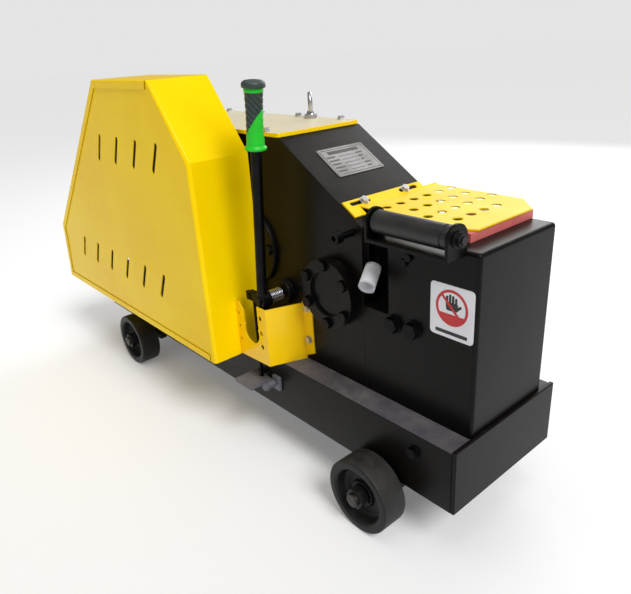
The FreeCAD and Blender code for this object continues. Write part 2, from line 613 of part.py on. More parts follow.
def guard():
    """A welded rim with a narrow flange, and a slotted panel bent round the front edges."""
    def outline(inset):
        return inset_outline(GUARD_OUTLINE, inset)

    def slab(inset, y0, y1):
        return side_prism(outline(inset), y0, y1)

    walls = slab(0, GUARD_NEAR, GUARD_FAR).cut(slab(SHEET, GUARD_NEAR + SHEET, GUARD_FAR))
    walls = walls.cut(box(-2 * BASE_LENGTH, 0, 0, BASE_WIDTH, 0, BASE_HEIGHT))
    front_x, (peak_x, peak_z) = GUARD_OUTLINE[4][0], GUARD_OUTLINE[3]
    bend_zone = side_prism([(peak_x, peak_z + 20), (front_x + 20, peak_z + 20), (front_x + 20, 90),
                            (front_x - GUARD_RIM, 90), (front_x - GUARD_RIM, GUARD_OUTLINE[4][1] - 6),
                            (peak_x - 6, peak_z - 6)], GUARD_NEAR - 1, GUARD_FAR + 1)
    panel_zone = bend_zone.fuse(slab(GUARD_RIM, GUARD_NEAR - 1, GUARD_NEAR + SHEET))
    panel = walls.common(panel_zone)
    rim = walls.cut(panel_zone)
    slot_length, slot_width = 70.0, 11.0
    cutters = []
    for row_x, row_z, pitch, count in ((-1192.0, 241.0, 91.0, 6), (-948.0, 531.0, 90.5, 4)):
        for k in range(count):
            x = row_x + pitch * k
            slot = box(x - slot_width / 2, x + slot_width / 2, GUARD_NEAR - 1, GUARD_NEAR + SHEET + 1,
                       row_z - slot_length / 2, row_z + slot_length / 2)
            slot.rotate(Vector(x, 0, row_z), Vector(0, 1, 0), 28.0)
            cutters.append(slot)
    parts["guard_panel"] = panel.cut(group(cutters))
    parts["guard_rim"] = rim


def inset_outline(points, inset):
    """The same outline, every side moved inwards by inset."""
    if not inset:
        return points
    count = len(points)
    lines = []
    for k in range(count):
        (x0, z0), (x1, z1) = points[k], points[(k + 1) % count]
        length = math.hypot(x1 - x0, z1 - z0)
        nx, nz = (z1 - z0) / length, -(x1 - x0) / length
        lines.append((nx, nz, nx * x0 + nz * z0 + inset))
    result = []
    for k in range(count):
        a, b = lines[k - 1], lines[k]
        det = a[0] * b[1] - a[1] * b[0]
        result.append(((a[2] * b[1] - b[2] * a[1]) / det, (a[0] * b[2] - b[0] * a[2]) / det))
    return result


# ---------------------------------------------------------------- lever, pedal and bracket


def lever():
    """One welded hand lever: round bar, hub, link arm and the shaft that reaches the stop pawl inside."""
    lean = math.radians(LEVER_LEAN)
    up = Vector(math.sin(lean), 0, math.cos(lean))
    pivot = Vector(SHIFT_X, LEVER_Y, SHIFT_Z)

    def span(low, high, radius):
        return Part.makeCylinder(radius, high - low, pivot + up * low, up)

    tail, stub = 52.0, 322.0
    hub = across(SHIFT_X, SHIFT_Z, 17.0, LEVER_Y - 8, LEVER_Y + 14)
    shaft = across(SHIFT_X, SHIFT_Z, SHIFT_RADIUS, LEVER_Y - 12, COLLAR[1] - 1)
    arm_end = SHIFT_X - ARM_LENGTH
    arm = box(arm_end - 10, SHIFT_X, LEVER_Y - 6, LEVER_Y + 1, SHIFT_Z - 9, SHIFT_Z + 9)
    pin_hole = across(arm_end, SHIFT_Z, LINK_STUD + 1.8, LEVER_Y - 7, LEVER_Y + 2)
    parts["lever_bar"] = joined([span(-tail, stub, LEVER_RADIUS), hub, arm, shaft]).cut(pin_hole)

    low, high, flange, cap = 300.0, 418.0, 6.0, 12.0
    handle = joined([span(low, low + flange, 20.0), span(low + flange, high - cap, 16.0), span(high - cap, high, 21.0)])
    parts["lever_grip"] = handle.cut(span(low, stub, LEVER_RADIUS))

    near, far = COLLAR[0] + 1, COLLAR[1] - 1
    finger = side_prism([(SHIFT_X, SHIFT_Z - 14), (SHIFT_X, SHIFT_Z + 14), (SHIFT_X - 62, SHIFT_Z + 24),
                         (SHIFT_X - 68, SHIFT_Z + 12)], near, far)
    pawl = joined([across(SHIFT_X, SHIFT_Z, 18.0, near, far), finger])
    parts["stop_pawl"] = pawl.cut(across(SHIFT_X, SHIFT_Z, SHIFT_RADIUS, near, far))
    parts["return_spring"] = ring(SHIFT_X, SHIFT_Z, 13.5, 10.5, LEVER_Y + 16, BODY_NEAR - 15)


def pedal():
    """A foot plate hinged on a stud at the base's side; it pulls the lever's arm down through a link."""
    link_x = SHIFT_X - ARM_LENGTH
    under, gap = PEDAL_Z - 12.0, 3.0
    stem = rod((link_x, LINK_Y, under), (link_x, LINK_Y, SHIFT_Z - 8), LINK_STEM)
    eye = box(link_x - 8, link_x + 8, LEVER_Y + 1.4, LINK_Y + 3.5, SHIFT_Z - 10, SHIFT_Z + 8)
    stud = across(link_x, SHIFT_Z, LINK_STUD, LEVER_Y - 7, LEVER_Y + 2)
    nut = bolt((link_x, LINK_Y, PEDAL_Z - gap), (0, 0, -1), 9.0, 0.5, washer=False)
    parts["pedal_link"] = joined([stem, eye, stud, nut])

    tongue = (-26.0, -8.0)
    plate = plan_prism([(-537, -60), (-476, -60), (-476, tongue[0]), (PEDAL_PIVOT_X, tongue[0]),
                        (PEDAL_PIVOT_X, tongue[1]), (-472, tongue[1]), (-472, -2), (-537, -2)], PEDAL_Z, PEDAL_Z + 5)
    corners = [e for e in plate.Edges if e.BoundBox.ZLength > 1 and e.BoundBox.XMax < -500]
    plate = plate.makeFillet(6.0, corners)
    barrel = across(PEDAL_PIVOT_X, PEDAL_PIVOT_Z, 8.0, *tongue)
    bore = across(PEDAL_PIVOT_X, PEDAL_PIVOT_Z, 5.0 + RUN, -70, 10)
    eye_hole = Part.makeCylinder(7.5, 40, Vector(link_x, LINK_Y, PEDAL_Z - 20))
    parts["foot_pedal"] = joined([plate, barrel]).cut(bore).cut(eye_hole)
    flange = box(PEDAL_PIVOT_X - 7, PEDAL_PIVOT_X + 16, -6, 0, PEDAL_PIVOT_Z - 16, PEDAL_PIVOT_Z + 16)
    stud_pin = across(PEDAL_PIVOT_X, PEDAL_PIVOT_Z, 5.0, -27, -6)
    end_nut = bolt((PEDAL_PIVOT_X, -27, PEDAL_PIVOT_Z), (0, -1, 0), 9.0, 0.5)
    parts["pedal_hinge"] = joined([flange, stud_pin, end_nut])


def bracket():
    """A bent sheet bracket: tab on the guard, plate across, slanted wall, flange on the body."""
    sheet = 3.0
    low, high = 120.0, 246.0
    outline = [(BRACKET_X0, low - 4), (BRACKET_X1, low), (BRACKET_X1, high), (-470, high), (-470, 196),
               (-495, 160), (-520, 196), (-520, high - 22), (-536, high - 6), (BRACKET_X0, high - 6)]
    face = side_prism(outline, BRACKET_Y, BRACKET_Y + sheet)
    notch = across(-495, 182, 25.0, BRACKET_Y, BRACKET_Y + sheet)
    face = face.cut(notch)
    wall = plan_prism([(BRACKET_X1 - sheet, BRACKET_Y), (BRACKET_X1, BRACKET_Y), (-414, BODY_NEAR - sheet),
                       (-414, BODY_NEAR), (-414 - sheet, BODY_NEAR)], low, high)
    flange_outline = [(-417, low + 6), (-388, low + 20), (-388, high + 2), (-398, high + 12), (-417, high + 6)]
    flange = side_prism(flange_outline, BODY_NEAR - sheet, BODY_NEAR)
    solid = joined([face, wall, flange])
    for x, z in ((-462, 222), (-462, 189), (-462, 158), (-537, 214), (-537, 184), (-537, 154)):
        solid = solid.cut(across(x, z, 5.2 if x > -500 else 3.0, BRACKET_Y - 1, BRACKET_Y + sheet + 1))
    bolts = [bolt((-402, BODY_NEAR - sheet, z), (0, -1, 0), 8.0, sheet) for z in (238, 168)]
    parts["lever_bracket"] = solid.cut(group(bolts))
    return bolts


# ---------------------------------------------------------------- throat cover, roller and small fittings

def throat_cover():
    """A perforated plate bent up against the slope, its front edge on a soft strip."""
    sheet = 3.0
    ux, uz = slope_direction()
    start, bend = 190.0, 208.0
    top = slope_point(start)
    knee = slope_point(bend)
    front_x, front_z = -48.0, HEAD_TOP + 15.0
    section = [top, knee, (front_x, front_z), (front_x, front_z + sheet), slope_point(bend + 1.5, sheet),
               slope_point(start, sheet)]
    full = side_prism(section, BODY_NEAR + 4, 297.0)
    keep = plan_prism([(-320, 54), (-279, 54), (-279, 84), (-200, 84), (-78, 84), (front_x, 100), (front_x, 250),
                       (-92, 297), (-283, 297), (-283, 258), (-320, 258)], 400, 500)
    cover = full.common(keep)
    tail = side_prism([knee, slope_point(bend + 20), slope_point(bend + 20, sheet), slope_point(bend, sheet)],
                      BODY_NEAR + 4, 82.0)
    cover = joined([cover, tail])
    slots = []
    for y in (91.0, 218.0):
        x0, z0 = slope_point(199.0, -1.0)
        for end in (y - 20, y + 20):
            slots.append(rod((x0, end, z0), (x0 - 10 * uz, end, z0 + 10 * ux), 4.5))
        web = Part.makeBox(9.0, 40.0, 10.0, Vector(-4.5, 0, 0))
        tilt = FreeCAD.Rotation(Vector(0, 1, 0), -math.degrees(math.atan2(uz, ux)))
        web.Placement = FreeCAD.Placement(Vector(x0, y - 20, z0), tilt)
        slots.append(web)
    holes = []
    for x, y, count in ((-240.0, 108.0, 6), (-195.0, 126.0, 5), (-150.0, 108.0, 6), (-105.0, 126.0, 4)):
        for k in range(count):
            holes.append(Part.makeCylinder(8.5, 60, Vector(x, y + 36.0 * k, 420)))
    cover = cover.cut(group(slots)).cut(group(holes))
    seat_x, seat_z = slope_point(199.0, sheet)
    bolts = [bolt((seat_x, y, seat_z), (-uz, 0, ux), 8.0, sheet) for y in (100.0, 209.0)]
    parts["throat_cover"] = cover
    parts["seal_strip"] = box(-64, -50, 84, 258, HEAD_TOP, HEAD_TOP + 14.6)
    return bolts


def roller():
    """A free roller on a U-shaped strap screwed to the near side of the head."""
    reach = 3.0
    axis_radius = 6.0
    tube = rod((ROLLER_REAR, ROLLER_Y, ROLLER_Z), (ROLLER_FRONT, ROLLER_Y, ROLLER_Z), ROLLER_RADIUS)
    edges = [e for e in tube.Edges if e.BoundBox.XLength < 0.1]
    tube = tube.makeFillet(2.0, edges)

    def along(x0, x1, radius):
        return rod((x0, ROLLER_Y, ROLLER_Z), (x1, ROLLER_Y, ROLLER_Z), radius)

    groove_x = (ROLLER_FRONT - 12, ROLLER_FRONT - 9)
    groove = tube.common(along(*groove_x, 2 * ROLLER_RADIUS)).cut(along(*groove_x, ROLLER_RADIUS - 1.2))
    bore = along(ROLLER_REAR - 1, ROLLER_FRONT + 1, axis_radius + RUN)
    parts["feed_roller"] = tube.cut(groove).cut(bore)
    ear = 5.0
    ears = []
    for x in (ROLLER_REAR - reach - ear, ROLLER_FRONT + reach):
        plate = box(x, x + ear, ROLLER_Y - 23, ROLLER_Y + 23, ROLLER_Z - 24, ROLLER_Z)
        disc = along(x, x + ear, 23.0)
        ears.append(plate.fuse(disc))
    strap = box(ROLLER_REAR - reach - ear, ROLLER_FRONT + reach + ear, ROLLER_Y - 23, BODY_NEAR,
                ROLLER_Z - 30, ROLLER_Z - 24)
    whole = joined(ears + [strap])
    hole = along(ROLLER_REAR - 20, ROLLER_FRONT + 20, axis_radius)
    keep_out = box(-400, 0, BODY_NEAR, 100, 300, HEAD_TOP)
    parts["roller_bracket"] = whole.cut(hole).cut(keep_out)
    axle = along(ROLLER_REAR - 18, ROLLER_FRONT + 20, axis_radius)
    nuts = []
    for x, way in ((ROLLER_REAR - reach - ear, -1), (ROLLER_FRONT + reach + ear, 1)):
        nut = bolt((x, ROLLER_Y, ROLLER_Z), (way, 0, 0), 12.0, 0.1)
        nuts.append(nut.cut(along(x - 30, x + 30, axis_radius)))
    return axle, nuts


def fittings(black_bolts, zinc_bolts):
    eye_x, eye_y = EYE_PLACE
    seat = BODY_TOP + TOP_PLATE
    centre = Vector(eye_x, eye_y, seat + 32)
    across_view = Vector(0.643, 0.766, 0)
    # the ring is round in section, with its inside bored flat for the hook
    up = Vector(0, 0, 1)
    bore_edges = [centre + up * 14.0 - across_view * 3.0, centre + up * 14.0 + across_view * 3.0]
    section = Part.Wire([Part.makeLine(*bore_edges),
                         Part.Arc(bore_edges[1], centre + up * 23.0, bore_edges[0]).toShape()])
    loop = Part.Face(section).revolve(centre, across_view, 360)
    foot = Part.makeCylinder(14.0, 8.0, Vector(eye_x, eye_y, seat))
    neck = Part.makeCone(11.0, 7.0, 10.0, Vector(eye_x, eye_y, seat + 6))
    thread = Part.makeCylinder(8.0, TOP_PLATE, Vector(eye_x, eye_y, BODY_TOP))
    hole = Part.makeCylinder(14.0, 20, centre - across_view * 10, across_view)
    parts["lifting_eye"] = joined([loop, foot, neck, thread]).cut(hole)
    low, high, thick = 54.0, 130.0, 1.5
    outline = [slope_point(low), slope_point(high), slope_point(high, thick), slope_point(low, thick)]
    parts["name_plate"] = side_prism(outline, 100, 218)
    sign = box(-95, -13, BODY_NEAR - 0.8, BODY_NEAR, 289, 378)
    upright = [e for e in sign.Edges if e.BoundBox.YLength > 0.5 and e.Length < 1]
    parts["warning_plate"] = sign.makeFillet(7.0, upright)
    stop = across(STOP_X, STOP_Z, STOP_RADIUS - 0.05, 20, BODY_NEAR + SIDE_PLATE)
    head = across(STOP_X, STOP_Z, 11.0, 6, 20).cut(across(STOP_X, STOP_Z, 5.0, 6, 13))
    parts["stop_screw"] = joined([stop, head])
    end, way, length = Vector(-195, 8, 350), Vector(-17, 36, 23), 46.0
    roll = Part.makeCylinder(15.0, length, end, way)
    parts["paper_tag"] = roll.cut(Part.makeCylinder(14.2, length, end, way))
    black_bolts += [bolt((x, BODY_NEAR, z), (0, -1, 0), 16.0, 20) for x, z in ((-173, 276), (-130, 279))]
    black_bolts += [bolt((x, BODY_NEAR, z), (0, -1, 0), 8.0, 10, washer=False) for x, z in ((-150, 393), (-140, 404))]
    black_bolts.append(bolt((-85, 0, 83), (0, -1, 0), 12.0, WEB))
    for x in (-500, -640, -780, -920):
        for y in (BODY_NEAR + 8, BODY_FAR - 8):
            zinc_bolts.append(bolt((x, y, seat), (0, 0, 1), 8.0, TOP_PLATE))


def main():
    base()
    axles, nuts = axle_set()
    wheels()
    body()
    cutting_head()
    black = caps()
    blades()
    ram()
    crank()
    gears()
    belt_drive()
    motor_bolts = motor()
    guard()
    lever()
    pedal()
    zinc = bracket() + throat_cover() + motor_bolts
    roller_axle, roller_nuts = roller()
    fittings(black, zinc)
    parts["axles"] = group(axles + [roller_axle])
    parts["axle_nuts"] = group(nuts + roller_nuts)
    for name, screws in (("top_plate", zinc), ("motor_housing", zinc), ("cutting_head", black),
                         ("near_base_rail", black), ("motor_plate", zinc)):
        parts[name] = parts[name].cut(group(screws))
    parts["black_bolts"] = group(black)
    parts["zinc_bolts"] = group(zinc)

    os.makedirs("parts", exist_ok=True)
    boxes = [shape.BoundBox for shape in parts.values()]
    middle_x = (min(b.XMin for b in boxes) + max(b.XMax for b in boxes)) / 2
    middle_y = (min(b.YMin for b in boxes) + max(b.YMax for b in boxes)) / 2
    floor = min(b.ZMin for b in boxes)
    print("origin", round(middle_x, 3), round(middle_y, 3), round(floor, 3), "nodes", len(parts))
    for name, shape in parts.items():
        shape.translate(Vector(-middle_x, -middle_y, -floor))
        shape.exportStep(f"parts/{name}.step")


main()
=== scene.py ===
import math

import bmesh
import bpy
from mathutils import Matrix, Vector


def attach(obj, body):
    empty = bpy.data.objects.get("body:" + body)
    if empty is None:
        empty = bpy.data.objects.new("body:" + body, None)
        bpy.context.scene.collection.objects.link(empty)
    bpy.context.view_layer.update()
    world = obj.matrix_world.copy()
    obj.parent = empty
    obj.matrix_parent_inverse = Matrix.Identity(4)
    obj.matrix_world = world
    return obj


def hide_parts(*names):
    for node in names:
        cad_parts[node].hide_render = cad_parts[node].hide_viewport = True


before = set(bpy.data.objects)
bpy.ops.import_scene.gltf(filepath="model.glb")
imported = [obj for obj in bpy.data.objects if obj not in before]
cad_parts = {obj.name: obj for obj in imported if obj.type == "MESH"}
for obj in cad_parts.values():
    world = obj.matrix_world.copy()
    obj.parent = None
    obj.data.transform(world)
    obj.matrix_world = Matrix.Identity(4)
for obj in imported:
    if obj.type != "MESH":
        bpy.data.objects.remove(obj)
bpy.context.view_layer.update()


# ==================================================================== base frame
# Two 12 cm rolled channels stand on edge with their flanges turned inwards, closed at both ends by plates
# that stand a little proud of them. The base is brushed with black enamel; the channels' top faces are a
# lighter grey, a painted reflection of the bright room, with some wear and dust on them.

CHANNEL_ENDS = (-1312.0, -8.0)
CHANNEL_SECTION = [(0, 0), (53, 0), (53, 7), (5.5, 11), (5.5, 109), (53, 113), (53, 120), (0, 120)]
CHANNEL_ROUNDS = [1.5, 2, 4, 7, 7, 4, 2, 1.5]
BASE_WIDTH = 295.0
# the middle of the ground under the machine, measured from the base's front, near, lower corner
ORIGIN = (-680.0, 135.5, -97.5)


def place(x, y, z):
    """A place on the machine, given in millimetres from the base's front, near, lower corner."""
    return Vector((x - ORIGIN[0], y - ORIGIN[1], z - ORIGIN[2])) / 1000


def swatch(red, green, blue):
    """A paint card colour, 0 to 255, as the linear colour a shader needs."""
    def linear(value):
        share = value / 255
        return share / 12.92 if share <= 0.04045 else ((share + 0.055) / 1.055) ** 2.4
    return (linear(red), linear(green), linear(blue), 1.0)


def node(tree, kind, inputs=None, **settings):
    """Adds one shader node: its settings, then each input's value or the output that feeds it."""
    made = tree.nodes.new("ShaderNode" + kind)
    for key, value in settings.items():
        setattr(made, key, value)
    for key, value in (inputs or {}).items():
        if isinstance(value, bpy.types.NodeSocket):
            tree.links.new(value, made.inputs[key])
        else:
            made.inputs[key].default_value = value
    return made


def effect(name, inputs, outputs):
    """An empty shader group with named sockets; returns its tree, its input node and its output node."""
    tree = bpy.data.node_groups.new(name, "ShaderNodeTree")
    for label, kind, value in inputs:
        socket = tree.interface.new_socket(label, in_out="INPUT", socket_type="NodeSocket" + kind)
        if value is not None:
            socket.default_value = value
    for label, kind in outputs:
        tree.interface.new_socket(label, in_out="OUTPUT", socket_type="NodeSocket" + kind)
    return tree, tree.nodes.new("NodeGroupInput"), tree.nodes.new("NodeGroupOutput")


def use(tree, group, inputs):
    """Places an effect in a material with that material's own values."""
    return node(tree, "Group", inputs, node_tree=group)


def blend_colour(tree, share, low, high):
    """Mixes two colours by a mask and returns the colour output."""
    return node(tree, "Mix", {0: share, 6: low, 7: high}, data_type="RGBA").outputs[2]


# Worn edges: bare or rubbed where a corner sticks out, broken up into patches, with a softly rounded normal.
worn_edges, source, sink = effect(
    "Worn edges",
    [("Vector", "Vector", None), ("Reach", "Float", 0.0015), ("Amount", "Float", 0.5),
     ("Patch scale", "Float", 40.0)],
    [("Mask", "Float"), ("Normal", "Vector")])
rounded = node(worn_edges, "Bevel", {"Radius": source.outputs["Reach"]}, samples=4)
flat = node(worn_edges, "NewGeometry")
facing = node(worn_edges, "VectorMath", {0: rounded.outputs["Normal"], 1: flat.outputs["Normal"]},
              operation="DOT_PRODUCT")
corner = node(worn_edges, "MapRange", {"Value": facing.outputs["Value"], "From Min": 0.985, "From Max": 0.86})
patches = node(worn_edges, "TexNoise", {"Vector": source.outputs["Vector"], "Detail": 5.0, "Roughness": 0.65,
                                        "Scale": source.outputs["Patch scale"]})
limit = node(worn_edges, "Math", {0: 0.78, 1: source.outputs["Amount"]}, operation="SUBTRACT")
above = node(worn_edges, "Math", {0: patches.outputs["Fac"], 1: limit.outputs[0]}, operation="SUBTRACT")
hard = node(worn_edges, "Math", {0: above.outputs[0], 1: 9.0}, operation="MULTIPLY", use_clamp=True)
both = node(worn_edges, "Math", {0: hard.outputs[0], 1: corner.outputs[0]}, operation="MULTIPLY",
            use_clamp=True)
worn_edges.links.new(both.outputs[0], sink.inputs["Mask"])
worn_edges.links.new(rounded.outputs["Normal"], sink.inputs["Normal"])

# Paint skin: the fine orange peel of sprayed enamel, and slow changes of tone across a panel.
paint_skin, source, sink = effect(
    "Paint skin",
    [("Vector", "Vector", None), ("Peel scale", "Float", 320.0), ("Tone scale", "Float", 5.0)],
    [("Height", "Float"), ("Tone", "Float"), ("Scuffs", "Float")])
peel = node(paint_skin, "TexNoise", {"Vector": source.outputs["Vector"], "Detail": 1.5,
                                     "Scale": source.outputs["Peel scale"]})
sag = node(paint_skin, "TexNoise", {"Vector": source.outputs["Vector"], "Scale": 14.0, "Detail": 2.0})
skin = node(paint_skin, "Math", {0: sag.outputs["Fac"], 1: 1.2, 2: peel.outputs["Fac"]},
            operation="MULTIPLY_ADD")
tone = node(paint_skin, "TexNoise", {"Vector": source.outputs["Vector"], "Detail": 4.0, "Distortion": 0.4,
                                     "Scale": source.outputs["Tone scale"]})
spread = node(paint_skin, "MapRange", {"Value": tone.outputs["Fac"], "From Min": 0.35, "From Max": 0.7})
stretched = node(paint_skin, "Mapping", {"Vector": source.outputs["Vector"], "Rotation": (0.5, 0.3, 0.9),
                                         "Scale": (6.0, 150.0, 60.0)})
scuff = node(paint_skin, "TexNoise", {"Vector": stretched.outputs[0], "Scale": 3.0, "Detail": 6.0,
                                      "Roughness": 0.7})
scuffed = node(paint_skin, "MapRange", {"Value": scuff.outputs["Fac"], "From Min": 0.62, "From Max": 0.74})
for output, label in ((skin.outputs[0], "Height"), (spread.outputs[0], "Tone"),
                      (scuffed.outputs[0], "Scuffs")):
    paint_skin.links.new(output, sink.inputs[label])

# Settled dust: a thin film on faces that look up, thicker in patches.
settled_dust, source, sink = effect(
    "Settled dust", [("Vector", "Vector", None), ("Amount", "Float", 0.3)], [("Mask", "Float")])
flat = node(settled_dust, "NewGeometry")
parted = node(settled_dust, "SeparateXYZ", {"Vector": flat.outputs["Normal"]})
upward = node(settled_dust, "MapRange", {"Value": parted.outputs["Z"], "From Min": 0.2, "From Max": 0.95})
drift = node(settled_dust, "TexNoise", {"Vector": source.outputs["Vector"], "Scale": 22.0, "Detail": 8.0,
                                        "Roughness": 0.7})
thick = node(settled_dust, "MapRange", {"Value": drift.outputs["Fac"], "From Min": 0.38, "From Max": 0.72})
lying = node(settled_dust, "Math", {0: upward.outputs[0], 1: thick.outputs[0]}, operation="MULTIPLY")
film = node(settled_dust, "Math", {0: lying.outputs[0], 1: source.outputs["Amount"]}, operation="MULTIPLY",
            use_clamp=True)
settled_dust.links.new(film.outputs[0], sink.inputs["Mask"])

DUST = swatch(158, 150, 138)


def painted(name, main, deep, bare, rough=0.3, coat=0.4, wear=0.3, dust=0.15, peel=0.1, reach=0.0016,
            specular=0.5):
    """Enamel over metal: main and deep tones, chipped to bare at the corners, with dust lying on top."""
    finish = bpy.data.materials.new(name)
    finish.use_nodes = True
    tree = finish.node_tree
    shader = tree.nodes["Principled BSDF"]
    where = node(tree, "TexCoord").outputs["Object"]
    edges = use(tree, worn_edges, {"Vector": where, "Reach": reach, "Amount": wear, "Patch scale": 55.0})
    coatings = use(tree, paint_skin, {"Vector": where, "Peel scale": 320.0, "Tone scale": 4.5})
    film = use(tree, settled_dust, {"Vector": where, "Amount": dust})
    body = blend_colour(tree, coatings.outputs["Tone"], main, deep)
    chipped = blend_colour(tree, edges.outputs["Mask"], body, bare)
    dusty = blend_colour(tree, film.outputs["Mask"], chipped, DUST)
    tree.links.new(dusty, shader.inputs["Base Color"])
    uneven = node(tree, "MapRange", {"Value": coatings.outputs["Tone"], "To Min": rough,
                                     "To Max": rough + 0.07})
    scuffed = node(tree, "Math", {0: coatings.outputs["Scuffs"], 1: 0.12, 2: uneven.outputs[0]},
                   operation="MULTIPLY_ADD")
    dulled = node(tree, "Math", {0: film.outputs["Mask"], 1: 0.5, 2: scuffed.outputs[0]},
                  operation="MULTIPLY_ADD", use_clamp=True)
    tree.links.new(dulled.outputs[0], shader.inputs["Roughness"])
    bump = node(tree, "Bump", {"Strength": peel, "Distance": 0.0008, "Height": coatings.outputs["Height"],
                               "Normal": edges.outputs["Normal"]})
    tree.links.new(bump.outputs[0], shader.inputs["Normal"])
    shader.inputs["Specular IOR Level"].default_value = specular
    shader.inputs["Coat Weight"].default_value = coat
    shader.inputs["Coat Roughness"].default_value = 0.06
    return finish


def dress(finish, slot_name, *names):
    """Gives CAD nodes their finish; slot_name is not used."""
    for name in names:
        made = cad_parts[name]
        made.data.materials.clear()
        made.data.materials.append(finish)


def eased(points, radius, closed=True, steps=4):
    """The same outline with every corner rounded; radius is one number, or one for each corner."""
    result, count = [], len(points)
    for k, (x, y) in enumerate(points):
        size = radius[k] if isinstance(radius, (list, tuple)) else radius
        if size <= 0 or (not closed and k in (0, count - 1)):
            result.append((x, y))
            continue
        here = Vector((x, y))
        back, on = Vector(points[k - 1]) - here, Vector(points[(k + 1) % count]) - here
        half = back.angle(on) / 2
        reach = min(size / math.tan(half), back.length * 0.49, on.length * 0.49)
        first, last = here + back.normalized() * reach, here + on.normalized() * reach
        for step in range(steps + 1):
            share = step / steps
            result.append(tuple(first * (1 - share) ** 2 + here * 2 * share * (1 - share)
                                + last * share ** 2))
    return result


def add_prism(mesh, outline, low, high, where):
    """Adds a closed solid: outline's points go through where(a, b, depth) at both depths."""
    rings = [[mesh.verts.new(where(a, b, depth)) for a, b in outline] for depth in (low, high)]
    faces = [mesh.faces.new(rings[0][::-1]), mesh.faces.new(rings[1])]
    count = len(outline)
    for k in range(count):
        after = (k + 1) % count
        faces.append(mesh.faces.new((rings[0][k], rings[0][after], rings[1][after], rings[1][k])))
    return faces


def add_turned(mesh, section, where, steps=64, closed=True):
    """Adds a turned solid from (radius, along) points; where(along, radius, angle) places each one."""
    turns = [2 * math.pi * s / steps for s in range(steps)]
    rings = []
    for radius, along in section:
        if radius < 1e-6:
            rings.append([mesh.verts.new(where(along, 0, 0))] * steps)
        else:
            rings.append([mesh.verts.new(where(along, radius, turn)) for turn in turns])
    faces = []
    for k in range(len(rings) if closed else len(rings) - 1):
        first, second = rings[k], rings[(k + 1) % len(rings)]
        for s in range(steps):
            t = (s + 1) % steps
            corners = list(dict.fromkeys((first[s], first[t], second[t], second[s])))
            if len(corners) > 2:
                faces.append(mesh.faces.new(corners))
    return faces


def piece(name, mesh, finishes, body="root", stands_for=(), crisp=35.0):
    """Makes an object of a finished mesh, shades it, ties it to its body and hides the CAD nodes it stands
    for.
    """
    bmesh.ops.recalc_face_normals(mesh, faces=mesh.faces)
    data = bpy.data.meshes.new(name)
    mesh.to_mesh(data)
    mesh.free()
    data.shade_smooth()
    data.set_sharp_from_angle(angle=math.radians(crisp))
    made = bpy.data.objects.new(name, data)
    bpy.context.scene.collection.objects.link(made)
    for finish in finishes:
        data.materials.append(finish)
    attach(made, body)
    if stands_for:
        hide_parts(*stands_for)
    return made


def soften(made, width, segments=3):
    """Rounds the sharp edges of a piece; width in millimetres."""
    bevel = made.modifiers.new("Rounded edges", "BEVEL")
    bevel.width = width / 1000
    bevel.segments = segments
    bevel.limit_method = "ANGLE"
    bevel.angle_limit = math.radians(32)
    bevel.harden_normals = True
    return made


black_paint = painted("Black gloss enamel", swatch(9, 8, 8), swatch(17, 14, 12), swatch(66, 62, 58), coat=0.0,
                      wear=0.12, dust=0.03, peel=0.2, reach=0.0022, specular=0.13)
# The channels' top faces get a lighter bluish grey: a painted reflection of the bright room, with wear and
# dust.
reflection_and_wear_top = painted("Channel top painted reflection and wear", swatch(84, 82, 90), swatch(62, 60, 66), swatch(120, 116, 114),
                      rough=0.5, coat=0.0, wear=0.3, dust=0.25, peel=0.4, specular=0.2)
section = eased(CHANNEL_SECTION, CHANNEL_ROUNDS)
for name, near, way in (("near", 0.0, 1.0), ("far", BASE_WIDTH, -1.0)):
    mesh = bmesh.new()
    faces = add_prism(mesh, section, *CHANNEL_ENDS,
                      lambda across, up, along: place(along, near + way * across, up))
    # the top faces take the lighter grey of the painted reflection
    highest = max(face.calc_center_median().z for face in faces)
    for face in faces:
        face.material_index = 1 if face.calc_center_median().z > highest - 0.0003 else 0
    piece(f"{name}_channel", mesh, [black_paint, reflection_and_wear_top],
          stands_for=[f"{name}_base_rail"])
dress(black_paint, "black_paint", "base_cross_plates")


# ==================================================================== wheels and axles
# Four plain cast-iron wheels with a deep dish and a worn tread turn on two bright bars, held in blocks under
# the channels by washers and nuts. They were dipped in black paint, and the treads are rubbed by the ground.

WHEEL_RADIUS, WHEEL_WIDTH, HUB_DISH, BORE = 71.0, 53.0, 14.0, 12.55
WHEEL_Z = -26.5
WHEEL_GAP = 9.0
RIM_INNER = 53.0
WEB = (21.5, 31.5)
AXLES = (("front", -165.0), ("rear", -1077.0))
WHEEL_FACES = (("near", -WHEEL_GAP - WHEEL_WIDTH, 1.0), ("far", BASE_WIDTH + WHEEL_GAP + WHEEL_WIDTH, -1.0))

iron_paint = painted("Dipped wheel paint", swatch(11, 11, 12), swatch(20, 20, 20), swatch(66, 63, 60),
                     rough=0.42, coat=0.0, wear=0.24, dust=0.08, peel=0.4, specular=0.25)
tread_wear = painted("Worn tread", swatch(24, 24, 25), swatch(44, 43, 42), swatch(84, 81, 78), rough=0.5,
                     coat=0.0, wear=0.4, dust=0.1, peel=0.6, specular=0.25)


